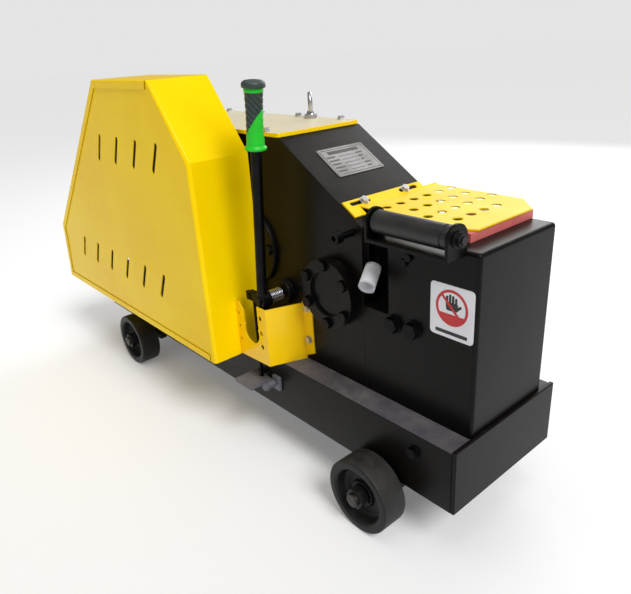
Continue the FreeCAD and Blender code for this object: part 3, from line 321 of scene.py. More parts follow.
def steel(name, main, stained, rough=0.25, line_scale=260.0, direction=(1.0, 1.0, 0.05), stain=0.4,
          depth=0.08):
    """Bare or plated metal with fine tool lines, and stains that dull it in patches."""
    finish = bpy.data.materials.new(name)
    finish.use_nodes = True
    tree = finish.node_tree
    shader = tree.nodes["Principled BSDF"]
    where = node(tree, "TexCoord").outputs["Object"]
    drawn = node(tree, "Mapping", {"Vector": where, "Scale": direction})
    lines = node(tree, "TexNoise", {"Vector": drawn.outputs[0], "Scale": line_scale, "Detail": 3.0})
    spots = use(tree, paint_skin, {"Vector": where, "Peel scale": 400.0, "Tone scale": 26.0})
    edges = use(tree, worn_edges, {"Vector": where, "Reach": 0.0008, "Amount": 0.4, "Patch scale": 90.0})
    amount = node(tree, "Math", {0: spots.outputs["Tone"], 1: stain}, operation="MULTIPLY")
    toned = blend_colour(tree, amount.outputs[0], main, stained)
    rubbed = tuple(min(1.0, c * 1.5) for c in main[:3]) + (1.0,)
    bright = blend_colour(tree, edges.outputs["Mask"], toned, rubbed)
    tree.links.new(bright, shader.inputs["Base Color"])
    uneven = node(tree, "MapRange", {"Value": lines.outputs["Fac"], "To Min": rough, "To Max": rough + 0.14})
    dull = node(tree, "Math", {0: amount.outputs[0], 1: 0.3, 2: uneven.outputs[0]}, operation="MULTIPLY_ADD",
                use_clamp=True)
    tree.links.new(dull.outputs[0], shader.inputs["Roughness"])
    bump = node(tree, "Bump", {"Strength": depth, "Distance": 0.0004, "Height": lines.outputs["Fac"],
                               "Normal": edges.outputs["Normal"]})
    tree.links.new(bump.outputs[0], shader.inputs["Normal"])
    shader.inputs["Metallic"].default_value = 1.0
    return finish


bright_steel = steel("Turned bright steel", swatch(176, 176, 180), swatch(112, 104, 96))
wheel_section = [(BORE, HUB_DISH), (24, HUB_DISH), (26, WEB[0]), (48, WEB[0]), (RIM_INNER, 3), (57, 0),
                 (WHEEL_RADIUS, 0), (WHEEL_RADIUS, WHEEL_WIDTH), (57, WHEEL_WIDTH), (52, WHEEL_WIDTH - 6),
                 (48, WEB[1]), (26, WEB[1]), (24, WHEEL_WIDTH), (BORE, WHEEL_WIDTH)]
wheel_rounds = [1, 2, 5, 8, 4, 3, 4, 4, 2, 4, 8, 5, 2, 1]
for end, x in AXLES:
    for side, face, way in WHEEL_FACES:
        mesh = bmesh.new()
        faces = add_turned(mesh, eased(wheel_section, wheel_rounds), lambda along, radius, angle: place(
            x + radius * math.cos(angle), face + way * along, WHEEL_Z + radius * math.sin(angle)), steps=96)
        middle = place(x, face, WHEEL_Z)
        for flat_face in faces:
            reach = (flat_face.calc_center_median() - middle) * Vector((1, 0, 1))
            flat_face.material_index = 1 if reach.length > (WHEEL_RADIUS - 1.5) / 1000 else 0
        name = f"{end}_{side}_wheel"
        piece(f"{name}_casting", mesh, [iron_paint, tread_wear], f"{name}_body", [name])
dress(black_paint, "black_paint", "axle_brackets")
oiled_steel = steel("Oiled tool steel", swatch(84, 82, 82), swatch(46, 40, 34), rough=0.34, stain=0.7)
dress(oiled_steel, "bright_steel", "axles")
dress(iron_paint, "zinc", "axle_nuts")


# ==================================================================== press body
# Thick side plates are welded to a floor, a rear plate and a sloping front plate; the seams were ground flush
# and enamelled black. A heavy machined block closes the front and carries the fixed blade and the throat.

SLOPE_TOP, SLOPE_RUN, SLOPE_RISE = (-457.0, 567.0), 206.0, -130.0
SLOPE_LENGTH = math.hypot(SLOPE_RUN, SLOPE_RISE)
BODY_SIDES = (50.0, 261.0)


def on_slope(along, across, lift):
    """A place on the sloping plate: along from its top edge, across the machine, lifted out of its face."""
    ux, uz = SLOPE_RUN / SLOPE_LENGTH, SLOPE_RISE / SLOPE_LENGTH
    return place(SLOPE_TOP[0] + along * ux - lift * uz, across, SLOPE_TOP[1] + along * uz + lift * ux)


dress(black_paint, "black_paint", "near_side_plate", "far_side_plate", "rear_plate", "floor_plate",
      "cutting_head", "slope_plate", "bearing_caps", "ram_access_cap")


# ==================================================================== top plate and lifting eye
# A flat yellow cover plate is screwed down over the crank; its top is a painted cream glare of the sky and
# its cut edges keep the yellow. A forged eye is screwed through the plate for the hoist.

BODY_REAR, BODY_TOP, TOP_PLATE = -970.0, SLOPE_TOP[1], 8.0

# The cream is painted glare on the yellow plate, with the usual chipping and dust.
cream_glare_paint = painted("Cover top painted glare", swatch(238, 232, 196), swatch(244, 226, 190),
                      swatch(170, 160, 120), rough=0.32, coat=0.3, wear=0.2, dust=0.1)
YELLOW, YELLOW_DEEP, YELLOW_WORN = swatch(255, 217, 0), swatch(250, 206, 0), swatch(150, 128, 60)
yellow_paint = painted("Yellow gloss enamel", YELLOW, YELLOW_DEEP, YELLOW_WORN, rough=0.22, coat=0.1,
                       wear=0.1, dust=0.02, peel=0.03, reach=0.002, specular=0.07)
near_side, far_side = BODY_SIDES
top_corners = [(BODY_REAR, near_side), (SLOPE_TOP[0], near_side),
               (SLOPE_TOP[0], far_side), (BODY_REAR, far_side)]
mesh = bmesh.new()
faces = add_prism(mesh, eased(top_corners, 6, steps=5), BODY_TOP, BODY_TOP + TOP_PLATE, place)
# the top and bottom faces take the painted cream glare, the edges keep the plate's yellow
for face in faces[2:]:
    face.material_index = 1
soften(piece("cover_plate", mesh, [cream_glare_paint, yellow_paint], stands_for=["top_plate"]), 0.8)

zinc = steel("Zinc plating", swatch(196, 198, 204), swatch(150, 146, 132), rough=0.22, line_scale=500.0,
             direction=(1.0, 1.0, 1.0))
dress(zinc, "zinc", "lifting_eye", "zinc_bolts")


# ==================================================================== crank drive inside the body
# Two pairs of hobbed gears slow the flywheel down to the crank, whose pin slides in the ram's yoke. All run
# in bronze bushes and an oil bath, so the steel is bright where it rubs and brown with oil elsewhere.

bronze = steel("Bronze", swatch(176, 124, 62), swatch(92, 62, 34), rough=0.32, stain=0.5)
dress(bright_steel, "bright_steel", "crankshaft", "intermediate_shaft", "flywheel_shaft", "ram", "ram_guides",
      "clutch_collar", "stop_pawl")
dress(oiled_steel, "tool_steel", "crank_gear", "intermediate_gear", "fixed_blade", "moving_blade")
dress(bronze, "bronze", "shaft_bushes")


# ==================================================================== motor and belt drive
# A foot-mounted ribbed motor drives a grooved flywheel through three V-belts. The motor is sprayed grey-blue,
# the cast pulleys are a dull stained grey, and the belts are dusty black rubber.

motor_paint = painted("Motor enamel", swatch(54, 82, 104), swatch(44, 70, 92), swatch(120, 120, 118),
                      rough=0.38, coat=0.2, wear=0.25, dust=0.3, peel=0.3)
cast_iron = steel("Painted cast iron", swatch(92, 92, 96), swatch(58, 54, 52), rough=0.42, line_scale=140.0,
                  direction=(1.0, 1.0, 1.0), stain=0.6, depth=0.3)


def supple(name, main, deep, rough=0.6, grain=900.0, depth=0.35, dust=0.2, sheen=0.0):
    """Rubber, vinyl or paper: a soft even colour with a fine grain and dust in it."""
    finish = bpy.data.materials.new(name)
    finish.use_nodes = True
    tree = finish.node_tree
    shader = tree.nodes["Principled BSDF"]
    where = node(tree, "TexCoord").outputs["Object"]
    skin = use(tree, paint_skin, {"Vector": where, "Peel scale": grain, "Tone scale": 18.0})
    film = use(tree, settled_dust, {"Vector": where, "Amount": dust})
    edges = use(tree, worn_edges, {"Vector": where, "Reach": 0.001, "Amount": 0.2, "Patch scale": 80.0})
    body = blend_colour(tree, skin.outputs["Tone"], main, deep)
    tree.links.new(blend_colour(tree, film.outputs["Mask"], body, DUST), shader.inputs["Base Color"])
    uneven = node(tree, "MapRange", {"Value": skin.outputs["Tone"], "To Min": rough, "To Max": rough + 0.12})
    tree.links.new(uneven.outputs[0], shader.inputs["Roughness"])
    bump = node(tree, "Bump", {"Strength": depth, "Distance": 0.0004, "Height": skin.outputs["Height"],
                               "Normal": edges.outputs["Normal"]})
    tree.links.new(bump.outputs[0], shader.inputs["Normal"])
    shader.inputs["Sheen Weight"].default_value = sheen
    return finish


belt_rubber = supple("Belt rubber", swatch(30, 30, 31), swatch(44, 42, 40), dust=0.3)
dress(motor_paint, "motor_paint", "motor_housing", "motor_end_shields", "fan_cover", "terminal_box")
dress(black_paint, "black_paint", "motor_plate")
dress(bright_steel, "bright_steel", "motor_rotor")
dress(cast_iron, "wheel_iron", "flywheel", "motor_pulley")
dress(belt_rubber, "belt_rubber", "v_belts")


# ==================================================================== belt guard
# A welded sheet rim with folded corners holds a slotted front panel that bends round the guard's front edges.
# Both are 2 mm sheet in glossy yellow enamel, and the far side is open to the pulleys.

OUTLINE = [(-1360, 113), (-1333, 282), (-917, 679), (-662, 679), (-546, 534), (-546, 113)]
GUARD_NEAR, GUARD_FAR = -98.0, 40.0
RIM_WIDTH = 17.0
SHEET = 2.0
SLOT_ROWS = ((-1192.0, 241.0, 91.0, 6), (-948.0, 531.0, 90.5, 4))
SLOT_LENGTH, SLOT_WIDTH, SLOT_LEAN = 70.0, 11.0, 28.0


def inset(points, depth):
    """A closed outline, drawn clockwise, with every side moved inwards."""
    lines, count = [], len(points)
    for k in range(count):
        (x0, z0), (x1, z1) = points[k], points[(k + 1) % count]
        length = math.hypot(x1 - x0, z1 - z0)
        nx, nz = (z1 - z0) / length, -(x1 - x0) / length
        lines.append((nx, nz, nx * x0 + nz * z0 + depth))
    result = []
    for k in range(count):
        (a, b, c), (d, e, f) = lines[k - 1], lines[k]
        across = a * e - b * d
        result.append(((c * e - b * f) / across, (a * f - c * d) / across))
    return result


def thicken(made, depth):
    """Gives a single sheet its thickness, inwards from the drawn face."""
    sheet = made.modifiers.new("Sheet", "SOLIDIFY")
    sheet.thickness = depth / 1000
    sheet.offset = -1.0
    sheet.use_even_offset = True


def even_shading(made):
    """Keeps wide flat faces flat to the eye where they meet a small rounded fold."""
    shading = made.modifiers.new("Even shading", "WEIGHTED_NORMAL")
    shading.weight = 100
    shading.keep_sharp = True


def bake_modifiers(made):
    """Keeps the shape the modifiers give and drops them."""
    bpy.context.view_layer.update()
    shaped = bpy.data.meshes.new_from_object(made.evaluated_get(bpy.context.evaluated_depsgraph_get()))
    made.modifiers.clear()
    made.data = shaped


def carve(made, cutter_mesh):
    """Cuts the closed solids in cutter_mesh out of a piece."""
    bmesh.ops.recalc_face_normals(cutter_mesh, faces=cutter_mesh.faces)
    data = bpy.data.meshes.new("cutter")
    cutter_mesh.to_mesh(data)
    cutter_mesh.free()
    cutter = bpy.data.objects.new("cutter", data)
    bpy.context.scene.collection.objects.link(cutter)
    hole = made.modifiers.new("Holes", "BOOLEAN")
    hole.operation, hole.solver, hole.object = "DIFFERENCE", "EXACT", cutter
    bake_modifiers(made)
    bpy.data.objects.remove(cutter)


def fold(mesh, edges, radius, segments=5):
    """Rounds the given sheet corners to a bend radius in millimetres."""
    bmesh.ops.bevel(mesh, geom=edges, offset=radius / 1000, segments=segments, profile=0.5, affect="EDGES",
                    clamp_overlap=True)


def edge_between(a, b):
    """The edge that joins two corners of a sheet."""
    return next(e for e in a.link_edges if b in e.verts)


def from_side(x, z, y):
    """The place of a point on an outline that is drawn as seen from the near side."""
    return place(x, y, z)


PEAK, SHOULDER, TOE = OUTLINE[3:]
LAP = 13.0
PANEL_NEAR = GUARD_NEAR + 2.2
PEAK_GAP = 0.5
BEND = 9.0
BEND_STEPS = 6
SEAM = TOE[0] - RIM_WIDTH
LIP_FAR = -1.0
FOLD = 3.5


def front_line(depth):
    """The panel's front edge drawn in by depth: its peak, its shoulder and its toe."""
    lean_x, lean_z = SHOULDER[0] - PEAK[0], SHOULDER[1] - PEAK[1]
    length = math.hypot(lean_x, lean_z)
    top, upright = PEAK[1] - PEAK_GAP, SHOULDER[0] - depth
    start_x = PEAK[0] + depth * lean_z / length - (depth * lean_x / length + PEAK_GAP) * lean_x / lean_z
    start_z = PEAK[1] - depth * lean_x / length
    peak_x = start_x if depth else PEAK[0]
    shoulder_z = start_z + (upright - (PEAK[0] + depth * lean_z / length)) * lean_z / lean_x
    return [(peak_x, top), (upright, shoulder_z), (upright, TOE[1])]


mesh = bmesh.new()
rows = []
for step in range(BEND_STEPS + 1):
    turn = math.pi / 2 * step / BEND_STEPS
    y = PANEL_NEAR + BEND * (1 - math.cos(turn))
    rows.append([mesh.verts.new(place(x, y, z)) for x, z in front_line(BEND * (1 - math.sin(turn)))])
rows.append([mesh.verts.new(place(x, GUARD_FAR, z)) for x, z in front_line(0.0)])
for first, second in zip(rows[:-1], rows[1:]):
    for k in range(2):
        mesh.faces.new((first[k], first[k + 1], second[k + 1], second[k]))
lapped = inset(OUTLINE, LAP)
back_points = [(SEAM - 4, TOE[1]), (SEAM - 4, lapped[0][1]), *lapped[:3], (PEAK[0] - 14, lapped[2][1])]
mesh.faces.new([mesh.verts.new(place(x, PANEL_NEAR, z)) for x, z in back_points] + rows[0])
panel = piece("guard_front_panel", mesh, [yellow_paint], stands_for=["guard_panel"])
thicken(panel, SHEET)
slots = bmesh.new()
lean, slot_end = math.radians(SLOT_LEAN), SLOT_WIDTH / 2
half = SLOT_LENGTH / 2 - slot_end
slot = [(half + slot_end * math.cos(a), slot_end * math.sin(a))
        for a in (math.radians(-90 + 22.5 * s) for s in range(9))]
slot += [(-u, -v) for u, v in slot]
for row_x, row_z, pitch, count in SLOT_ROWS:
    for k in range(count):
        leaning = [(row_x + pitch * k + u * math.sin(lean) + v * math.cos(lean),
                    row_z + u * math.cos(lean) - v * math.sin(lean)) for u, v in slot]
        add_prism(slots, leaning, GUARD_NEAR - 4, GUARD_NEAR + 8, from_side)
carve(panel, slots)
even_shading(panel)

mesh = bmesh.new()
inner = inset(OUTLINE, RIM_WIDTH)
run_out = [(SEAM, TOE[1]), *OUTLINE[:3], (PEAK[0] - 1, PEAK[1])]
run_in = [(SEAM, inner[0][1]), *inner[:3], (PEAK[0] - 6, inner[2][1])]
outer_near = [mesh.verts.new(place(x, GUARD_NEAR, z)) for x, z in run_out]
inner_near = [mesh.verts.new(place(x, GUARD_NEAR, z)) for x, z in run_in]
depths = [LIP_FAR, LIP_FAR, GUARD_FAR, GUARD_FAR, GUARD_FAR]
outer_far = [mesh.verts.new(place(x, y, z)) for (x, z), y in zip(run_out, depths)]
open_corner = mesh.verts.new(place(OUTLINE[0][0], GUARD_FAR, OUTLINE[0][1]))
for k in range(4):
    mesh.faces.new((outer_near[k], inner_near[k], inner_near[k + 1], outer_near[k + 1]))
    wall = [outer_near[k], outer_near[k + 1], outer_far[k + 1], outer_far[k]]
    mesh.faces.new(wall[:3] + [open_corner, outer_far[1]] if k == 1 else wall)
bmesh.ops.recalc_face_normals(mesh, faces=mesh.faces)
fold(mesh, [edge_between(outer_near[k], outer_near[k + 1]) for k in range(4)]
     + [edge_between(outer_near[k], outer_far[k]) for k in (1, 2, 3)], FOLD)
rim = piece("guard_welded_rim", mesh, [yellow_paint], stands_for=["guard_rim"])
thicken(rim, SHEET)
even_shading(rim)


# ==================================================================== hand lever
# A round bar welded to a shaft engages the crank's stop pawl. It is blackened, with a moulded two-colour
# rubber grip pushed on its end, and a coil spring round the shaft draws it back.

PIVOT = (-468.0, -14.0, 258.0)
LEAN = math.radians(5.3)
GRIP_LOW, GRIP_HIGH, GRIP_BORE = 300.0, 418.0, 10.2
WAIST_LOW, WAIST_PITCH, WAIST_STEPS = 308.0, 4.0, 22
GROOVES = (330.0, 396.0)
RING = (398.0, 404.2)
STEPS = 72

black_oxide = steel("Black oxide steel", swatch(34, 34, 36), swatch(22, 20, 18), rough=0.34, stain=0.5)
spring_steel = steel("Spring steel", swatch(190, 192, 198), swatch(120, 118, 112), rough=0.2)
dress(black_oxide, "black_oxide", "lever_bar", "stop_screw", "black_bolts")


def on_lever(along, radius, angle):
    """A place round the lever bar: how far up it, how far out from its middle, and which way round."""
    out = Vector((math.cos(LEAN), 0, -math.sin(LEAN))) * math.cos(angle) + Vector((0, 1, 0)) * math.sin(angle)
    up = Vector((math.sin(LEAN), 0, math.cos(LEAN)))
    return place(*PIVOT) + (up * along + out * radius) / 1000


grip_dark = supple("Grip dark rubber", swatch(34, 52, 48), swatch(44, 64, 58), rough=0.42, grain=1200.0,
                   dust=0.1)
grip_green = supple("Grip green rubber", swatch(8, 206, 28), swatch(12, 190, 30), rough=0.36, grain=1200.0,
                    dust=0.02)
# The grooves are coloured near black: painted shade in the shallow grooves of the dark rubber.
groove_shade = supple("Grip groove painted shade", swatch(12, 14, 14), swatch(18, 20, 20), rough=0.5, grain=1200.0,
                      dust=0.0)
# height up the lever and radius there: a flange, a slim waist, a bright ring and a rounded cap
profile = [(GRIP_LOW, 18.5), (301.5, 20), (304.5, 20), (306, 18.4), (WAIST_LOW, 16.4)]
profile += [(WAIST_LOW + WAIST_PITCH * k, 16.4 - 1.1 * math.sin(math.pi * k / WAIST_STEPS))
            for k in range(1, WAIST_STEPS + 1)]
profile += [(398, 16.3), (399, 17.2), (403, 17.2), (404, 16.4), (405, 19.6), (406.5, 21), (411, 21),
            (414, 20), (416.5, 16.5), (417.8, 9), (GRIP_HIGH, 0)]


def groove_depth(height, angle):
    """Curved diagonal grooves cut into the dark half of the grip."""
    if not GROOVES[0] < height < GROOVES[1]:
        return 0.0
    sweep = (height - GROOVES[0]) / 11 + 1.6 * math.sin(angle + 0.6)
    return 0.9 * max(0.0, math.cos(2 * math.pi * sweep)) ** 3


stations = [(GRIP_LOW, GRIP_BORE)]
for (low, r0), (high, r1) in zip(profile[:-1], profile[1:]):
    cuts = max(1, round((high - low) / 1.4)) if WAIST_LOW <= low < RING[0] else 1
    stations += [(low + (high - low) * c / cuts, r0 + (r1 - r0) * c / cuts) for c in range(cuts)]
stations.append(profile[-1])
turns = [2 * math.pi * s / STEPS for s in range(STEPS)]
mesh = bmesh.new()
rings = [[mesh.verts.new(on_lever(height, max(0.01, radius - groove_depth(height, turn)), turn))
          for turn in turns] for height, radius in stations]
for k, (height, _) in enumerate(stations[:-1]):
    for s in range(STEPS):
        t = (s + 1) % STEPS
        quad = mesh.faces.new((rings[k][s], rings[k][t], rings[k + 1][t], rings[k + 1][s]))
        turn = 2 * math.pi * (s + 0.5) / STEPS
        green_edge = 347 + 22 * math.sin(turn + 0.9)
        # faces inside a groove take the painted groove shade
        grooved = groove_depth(height + 0.7, turn) > 0.3
        green = height < green_edge or RING[0] <= height < RING[1]
        quad.material_index = 1 if green else (2 if grooved else 0)
mesh.faces.new(rings[-1])
bmesh.ops.remove_doubles(mesh, verts=mesh.verts, dist=1e-6)
piece("lever_rubber_grip", mesh, [grip_dark, grip_green, groove_shade], "hand_lever",
      ["lever_grip"], crisp=50)

COIL_RADIUS, WIRE, COILS = 11.9, 1.25, 8
COIL_ENDS = (PIVOT[1] + 17.6, 33.4)
mesh = bmesh.new()
around, along_steps = 10, COILS * 28
rings = []
for k in range(along_steps + 1):
    turn = 2 * math.pi * COILS * k / along_steps
    y = COIL_ENDS[0] + (COIL_ENDS[1] - COIL_ENDS[0]) * k / along_steps
    ring = []
    for s in range(around):
        a = 2 * math.pi * s / around
        reach = COIL_RADIUS + WIRE * math.cos(a)
        ring.append(mesh.verts.new(place(PIVOT[0] + reach * math.cos(turn), y + WIRE * math.sin(a),
                                         PIVOT[2] + reach * math.sin(turn))))
    rings.append(ring)
for first, second in zip(rings[:-1], rings[1:]):
    for s in range(around):
        t = (s + 1) % around
        mesh.faces.new((first[s], first[t], second[t], second[s]))
mesh.faces.new(rings[0][::-1])
mesh.faces.new(rings[-1])
piece("lever_coil_spring", mesh, [spring_steel], "root", ["return_spring"])


# ==================================================================== lever bracket and foot pedal
# A bent sheet bracket, sprayed a deeper yellow, reaches from the guard to the body under the lever. Below it
# a grey foot plate on a stud pulls the lever through a link rod.

bracket_paint = painted("Bracket enamel", swatch(255, 208, 8), swatch(250, 196, 6), swatch(120, 100, 60),
                        rough=0.22, coat=0.25, wear=0.2, dust=0.05, specular=0.2)
grey_paint = painted("Grey primer", swatch(104, 103, 112), swatch(88, 88, 96), swatch(130, 128, 124),
                     rough=0.5, coat=0.05, wear=0.3, dust=0.25, peel=0.4)
dress(bracket_paint, "yellow_paint", "lever_bracket")
dress(grey_paint, "grey_paint", "foot_pedal", "pedal_hinge")
dress(black_oxide, "black_oxide", "pedal_link")


# ==================================================================== throat cover and strip
# A perforated yellow plate folded up against the slope keeps hands off the blades. It is slotted so that it
# can be set along its two bolts, and its front edge lies on a strip of soft red rubber, faded by daylight.

red_rubber = supple("Faded red rubber", swatch(222, 122, 116), swatch(206, 98, 96), rough=0.6, dust=0.15)
cover_paint = painted("Yellow satin enamel", YELLOW, YELLOW_DEEP, YELLOW_WORN, rough=0.42, coat=0.0,
                      wear=0.3, dust=0.1, peel=0.1, reach=0.0012, specular=0.2)
dress(cover_paint, "yellow_paint", "throat_cover")
dress(red_rubber, "red_rubber", "seal_strip")


# ==================================================================== feed roller
# A rubber-covered tube turns freely on an axle between the ears of a strap welded to the head. Long bars rest
# on it and slide over it into the throat.

roller_rubber = supple("Roller rubber", swatch(22, 22, 23), swatch(34, 33, 33), rough=0.38, dust=0.12)
dress(roller_rubber, "belt_rubber", "feed_roller")
dress(black_paint, "black_paint", "roller_bracket")


# ==================================================================== plates and tag
# A stamped aluminium data plate is riveted on the slope, a vinyl safety sign is stuck by the throat, and a
# rolled paper slip is tucked into the throat.

engraved = steel("Stamped aluminium", swatch(168, 166, 166), swatch(120, 116, 114), rough=0.34,
                 line_scale=600.0, direction=(0.05, 1.0, 1.0), stain=0.5)
white_vinyl = supple("White vinyl", swatch(236, 236, 240), swatch(226, 226, 232), rough=0.3, depth=0.08,
                     dust=0.05)
paper = supple("Paper", swatch(240, 240, 242), swatch(228, 229, 234), rough=0.7, depth=0.2, dust=0.0)
plate_ink = painted("Plate ink", swatch(60, 58, 60), swatch(74, 70, 70), swatch(130, 128, 126), rough=0.5,
                    coat=0.0, wear=0.2, dust=0.2)
PLATE = (54.0, 130.0, 100.0, 218.0)
PLATE_THICK = 1.2
INK_TOP = PLATE_THICK + 0.25
RIVET = [(0, 1.3), (2.4, 1.3), (2.2, 1.9), (1.3, 2.3), (0, 2.45)]
RIVET_INSET = 4.2


def add_plate_bar(mesh, s0, s1, y0, y1, low, high, round_by=0.6):
    """A flat bar on the data plate, between two heights over the slope."""
    corners = eased([(s0, y0), (s1, y0), (s1, y1), (s0, y1)], round_by, steps=3)
    return add_prism(mesh, corners, low, high, on_slope)


mesh = bmesh.new()
low_s, high_s, low_y, high_y = PLATE
add_plate_bar(mesh, low_s, high_s, low_y, high_y, 0.0, PLATE_THICK, 4)
inked = add_plate_bar(mesh, low_s + 9, low_s + 17, low_y + 20, high_y - 20, PLATE_THICK, 1.5)
for row in range(5):
    row_s = low_s + 23 + 9.6 * row
    for s0, y0, y1, top, round_by in ((0.0, low_y + 9, low_y + 30 + 4 * (row % 2), INK_TOP, 0.6),
                                      (2.2, low_y + 40, high_y - 40, 1.4, 0.3),
                                      (0.0, high_y - 35, high_y - 18 - 5 * (row % 3), INK_TOP, 0.6)):
        inked += add_plate_bar(mesh, row_s + s0, row_s + 3.2, y0, y1, PLATE_THICK, top, round_by)
for s0, s1, y0, y1 in ((4, 5.2, 4, 114), (70.8, 72, 4, 114), (4, 72, 4, 5.2), (4, 72, 112.8, 114)):
    inked += add_plate_bar(mesh, low_s + s0, low_s + s1, low_y + y0, low_y + y1, PLATE_THICK, INK_TOP, 0.3)
for face in inked:
    face.material_index = 1
for s0 in (low_s + RIVET_INSET, high_s - RIVET_INSET):
    for y0 in (low_y + RIVET_INSET, high_y - RIVET_INSET):
        add_turned(mesh, RIVET, lambda along, radius, angle: on_slope(
            s0 + radius * math.cos(angle), y0 + radius * math.sin(angle), along), 20, closed=False)
piece("data_plate", mesh, [engraved, plate_ink], stands_for=["name_plate"])

SIGN = (-95.0, -13.0, 289.0, 378.0)
SIGN_FACE = BODY_SIDES[0] - 0.8
RED, BLACK = 1, 2
sign_red = supple("Sign red ink", swatch(206, 30, 34), swatch(190, 34, 36), rough=0.32, depth=0.08, dust=0.04)
sign_black = supple("Sign black ink", swatch(20, 20, 22), swatch(30, 28, 30), rough=0.32, depth=0.08,
                    dust=0.04)


def add_print(mesh, outline, ink, proud):
    """A printed shape on the sign, standing out from its face by its ink's small depth."""
    for face in add_prism(mesh, outline, SIGN_FACE - proud, SIGN_FACE, from_side):
        face.material_index = ink


def arc(x, z, radius, start, end, steps):
    """Points along an arc between two angles in degrees."""
    turns = (math.radians(start + (end - start) * k / steps) for k in range(steps + 1))
    return [(x + radius * math.cos(a), z + radius * math.sin(a)) for a in turns]


def bar(x0, z0, x1, z1, width):
    """A straight bar with round ends between two points."""
    aim = math.degrees(math.atan2(z1 - z0, x1 - x0))
    return arc(x1, z1, width / 2, aim - 90, aim + 90, 8) + arc(x0, z0, width / 2, aim + 90, aim + 270, 8)


mesh = bmesh.new()
left, right_edge, foot, head = SIGN
add_prism(mesh, eased([(left, foot), (right_edge, foot), (right_edge, head), (left, head)], 8, steps=6),
          SIGN_FACE, BODY_SIDES[0], from_side)
CENTRE_X, CENTRE_Z, RED_RING, SLASH = -54.0, 341.0, 30.0, 19.0
for start in range(0, 360, 90):
    add_print(mesh, arc(CENTRE_X, CENTRE_Z, RED_RING, start, start + 90, 16)
              + arc(CENTRE_X, CENTRE_Z, RED_RING - 4.5, start + 90, start, 16), RED, 0.3)
add_print(mesh, arc(CENTRE_X, CENTRE_Z, RED_RING - 4.4, 205, 335, 24), RED, 0.24)
# an open hand: the palm, four fingers and the thumb
add_print(mesh, eased([(-64, 336), (-44, 336), (-42, 350), (-66, 350)], 3), BLACK, 0.2)
for k, length in enumerate((9, 12, 11, 8)):
    finger_x = -63.0 + 5.6 * k
    add_print(mesh, bar(finger_x, 347, finger_x, 349 + length, 4.2), BLACK, 0.22)
add_print(mesh, bar(-46, 339, -38, 346, 4.4), BLACK, 0.22)
add_print(mesh, bar(CENTRE_X - SLASH, CENTRE_Z + SLASH, CENTRE_X + SLASH, CENTRE_Z - SLASH, 4.4), RED, 0.36)
add_print(mesh, eased([(-84, 295), (-24, 295), (-24, 301), (-84, 301)], 1.5), BLACK, 0.2)
piece("safety_sign", mesh, [white_vinyl, sign_red, sign_black], stands_for=["warning_plate"])

ROLL_END, ROLL_WAY, ROLL_LENGTH = Vector((-195, 8, 350)), Vector((-17, 36, 23)).normalized(), 46.0
ROLL_TURNS, ROLL_STEPS, ROLL_ROWS = 1.7, 99, 8
ROLL_RADIUS, ROLL_WOUND, ROLL_SLIP = 14.8, 2.2, 1.6
third_way = ROLL_WAY.cross(Vector((1, 0, 0))).normalized()
side_way = third_way.cross(ROLL_WAY)
mesh = bmesh.new()
columns = []
for k in range(ROLL_STEPS + 1):
    share = k / ROLL_STEPS
    angle = 2 * math.pi * ROLL_TURNS * share
    radius = ROLL_RADIUS - ROLL_WOUND * share + 0.15 * math.sin(5 * angle)
    out = side_way * math.cos(angle + 0.9) + third_way * math.sin(angle + 0.9)
    column = []
    for row in range(ROLL_ROWS + 1):
        down = row / ROLL_ROWS
        spot = ROLL_END + ROLL_WAY * (ROLL_SLIP * share + (ROLL_LENGTH - 1.7) * down)
        column.append(mesh.verts.new(place(*(spot + out * radius * (1 - 0.03 * down)))))
    columns.append(column)
for first, second in zip(columns[:-1], columns[1:]):
    for row in range(ROLL_ROWS):
        mesh.faces.new((first[row], second[row], second[row + 1], first[row + 1]))
tag = piece("rolled_paper_slip", mesh, [paper], stands_for=["paper_tag"])
thicken(tag, 0.25)


# ==================================================================== floor, lights and camera
# A plain pale studio floor in a pale room, with a large soft light above, a faint one at the near side, a
# strong one behind the machine, and daylight that comes in over its cutting end.

mesh = bmesh.new()
bmesh.ops.create_grid(mesh, x_segments=1, y_segments=1, size=30.0)
floor_data = bpy.data.meshes.new("studio_floor")
mesh.to_mesh(floor_data)
mesh.free()
floor = bpy.data.objects.new("studio_floor", floor_data)
bpy.context.scene.collection.objects.link(floor)
floor_finish = bpy.data.materials.new("Pale floor")
floor_finish.use_nodes = True
for label, value in (("Base Color", (0.84, 0.84, 0.84, 1)), ("Roughness", 0.8), ("Specular IOR Level", 0.1),
                     ("Emission Color", (1, 1, 1, 1)), ("Emission Strength", 0.14)):
    floor_finish.node_tree.nodes["Principled BSDF"].inputs[label].default_value = value
floor_data.materials.append(floor_finish)


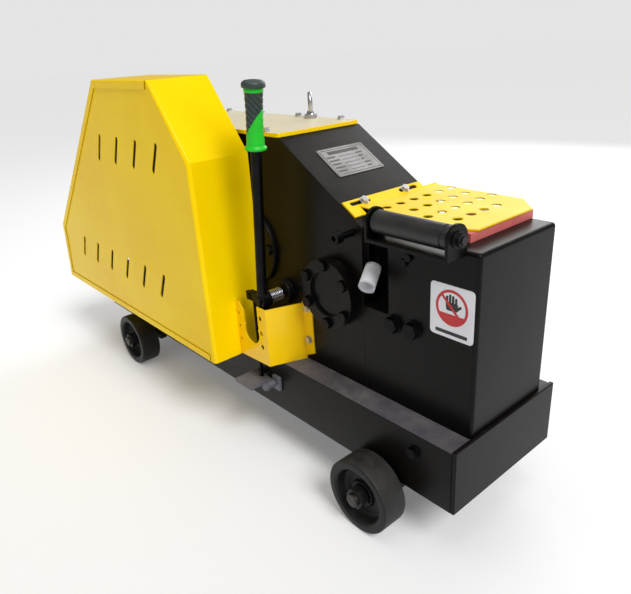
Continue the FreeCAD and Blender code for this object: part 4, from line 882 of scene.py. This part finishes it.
def softbox(name, place_at, aim, size, watts):
    """A round soft light, in metres and watts, turned to shine at aim and not seen itself."""
    light = bpy.data.lights.new(name, "AREA")
    light.shape, light.size, light.energy = "DISK", size, watts
    made = bpy.data.objects.new(name, light)
    bpy.context.scene.collection.objects.link(made)
    made.location = place_at
    made.visible_camera = False
    made.rotation_euler = (Vector(aim) - Vector(place_at)).to_track_quat("-Z", "Y").to_euler()


softbox("overhead", (0.3, -0.4, 3.0), (0, 0, 0.3), 2.6, 16)
softbox("near_side", (-0.6, -3.2, 1.5), (-0.1, 0, 0.35), 1.8, 3)
softbox("behind", (-0.7, 3.0, 2.0), (0, 0, 0.5), 2.6, 55)
sun_data = bpy.data.lights.new("window", "SUN")
sun_data.energy, sun_data.angle = 2.3, math.radians(24)
sun = bpy.data.objects.new("window", sun_data)
bpy.context.scene.collection.objects.link(sun)
sun.rotation_euler = Vector((-0.68, 0.1, -0.72)).to_track_quat("-Z", "Y").to_euler()
world = bpy.data.worlds.new("Pale room")
world.use_nodes = True
sky = world.node_tree
sky.nodes["Background"].inputs["Color"].default_value = (1, 1, 1, 1)
seen = node(sky, "LightPath")
glow = node(sky, "MapRange", {"Value": seen.outputs["Is Camera Ray"], "To Min": 0.25, "To Max": 0.78})
sky.links.new(glow.outputs[0], sky.nodes["Background"].inputs["Strength"])
bpy.context.scene.world = world
bpy.context.scene.view_settings.view_transform = "Standard"

YAW, PITCH, ROLL = (math.radians(a) for a in (50.034, 23.183, -3.544))
CAMERA_PLACE = (1.1299, -0.7754, 0.8229)
back = Vector((math.sin(YAW) * math.cos(PITCH), -math.cos(YAW) * math.cos(PITCH), math.sin(PITCH)))
right = Vector((math.cos(YAW), math.sin(YAW), 0))
up = back.cross(right)
turned_right = right * math.cos(ROLL) + up * math.sin(ROLL)
turned_up = up * math.cos(ROLL) - right * math.sin(ROLL)
camera_data = bpy.data.cameras.new("camera")
camera = bpy.data.objects.new("camera", camera_data)
bpy.context.scene.collection.objects.link(camera)
camera_data.lens, camera_data.sensor_width = 34.12, 36.0
camera_data.shift_x, camera_data.shift_y = -0.0024, 0.0032
axes = Matrix((turned_right, turned_up, back)).transposed().to_4x4()
camera.matrix_world = Matrix.Translation(CAMERA_PLACE) @ axes
bpy.context.scene.camera = camera
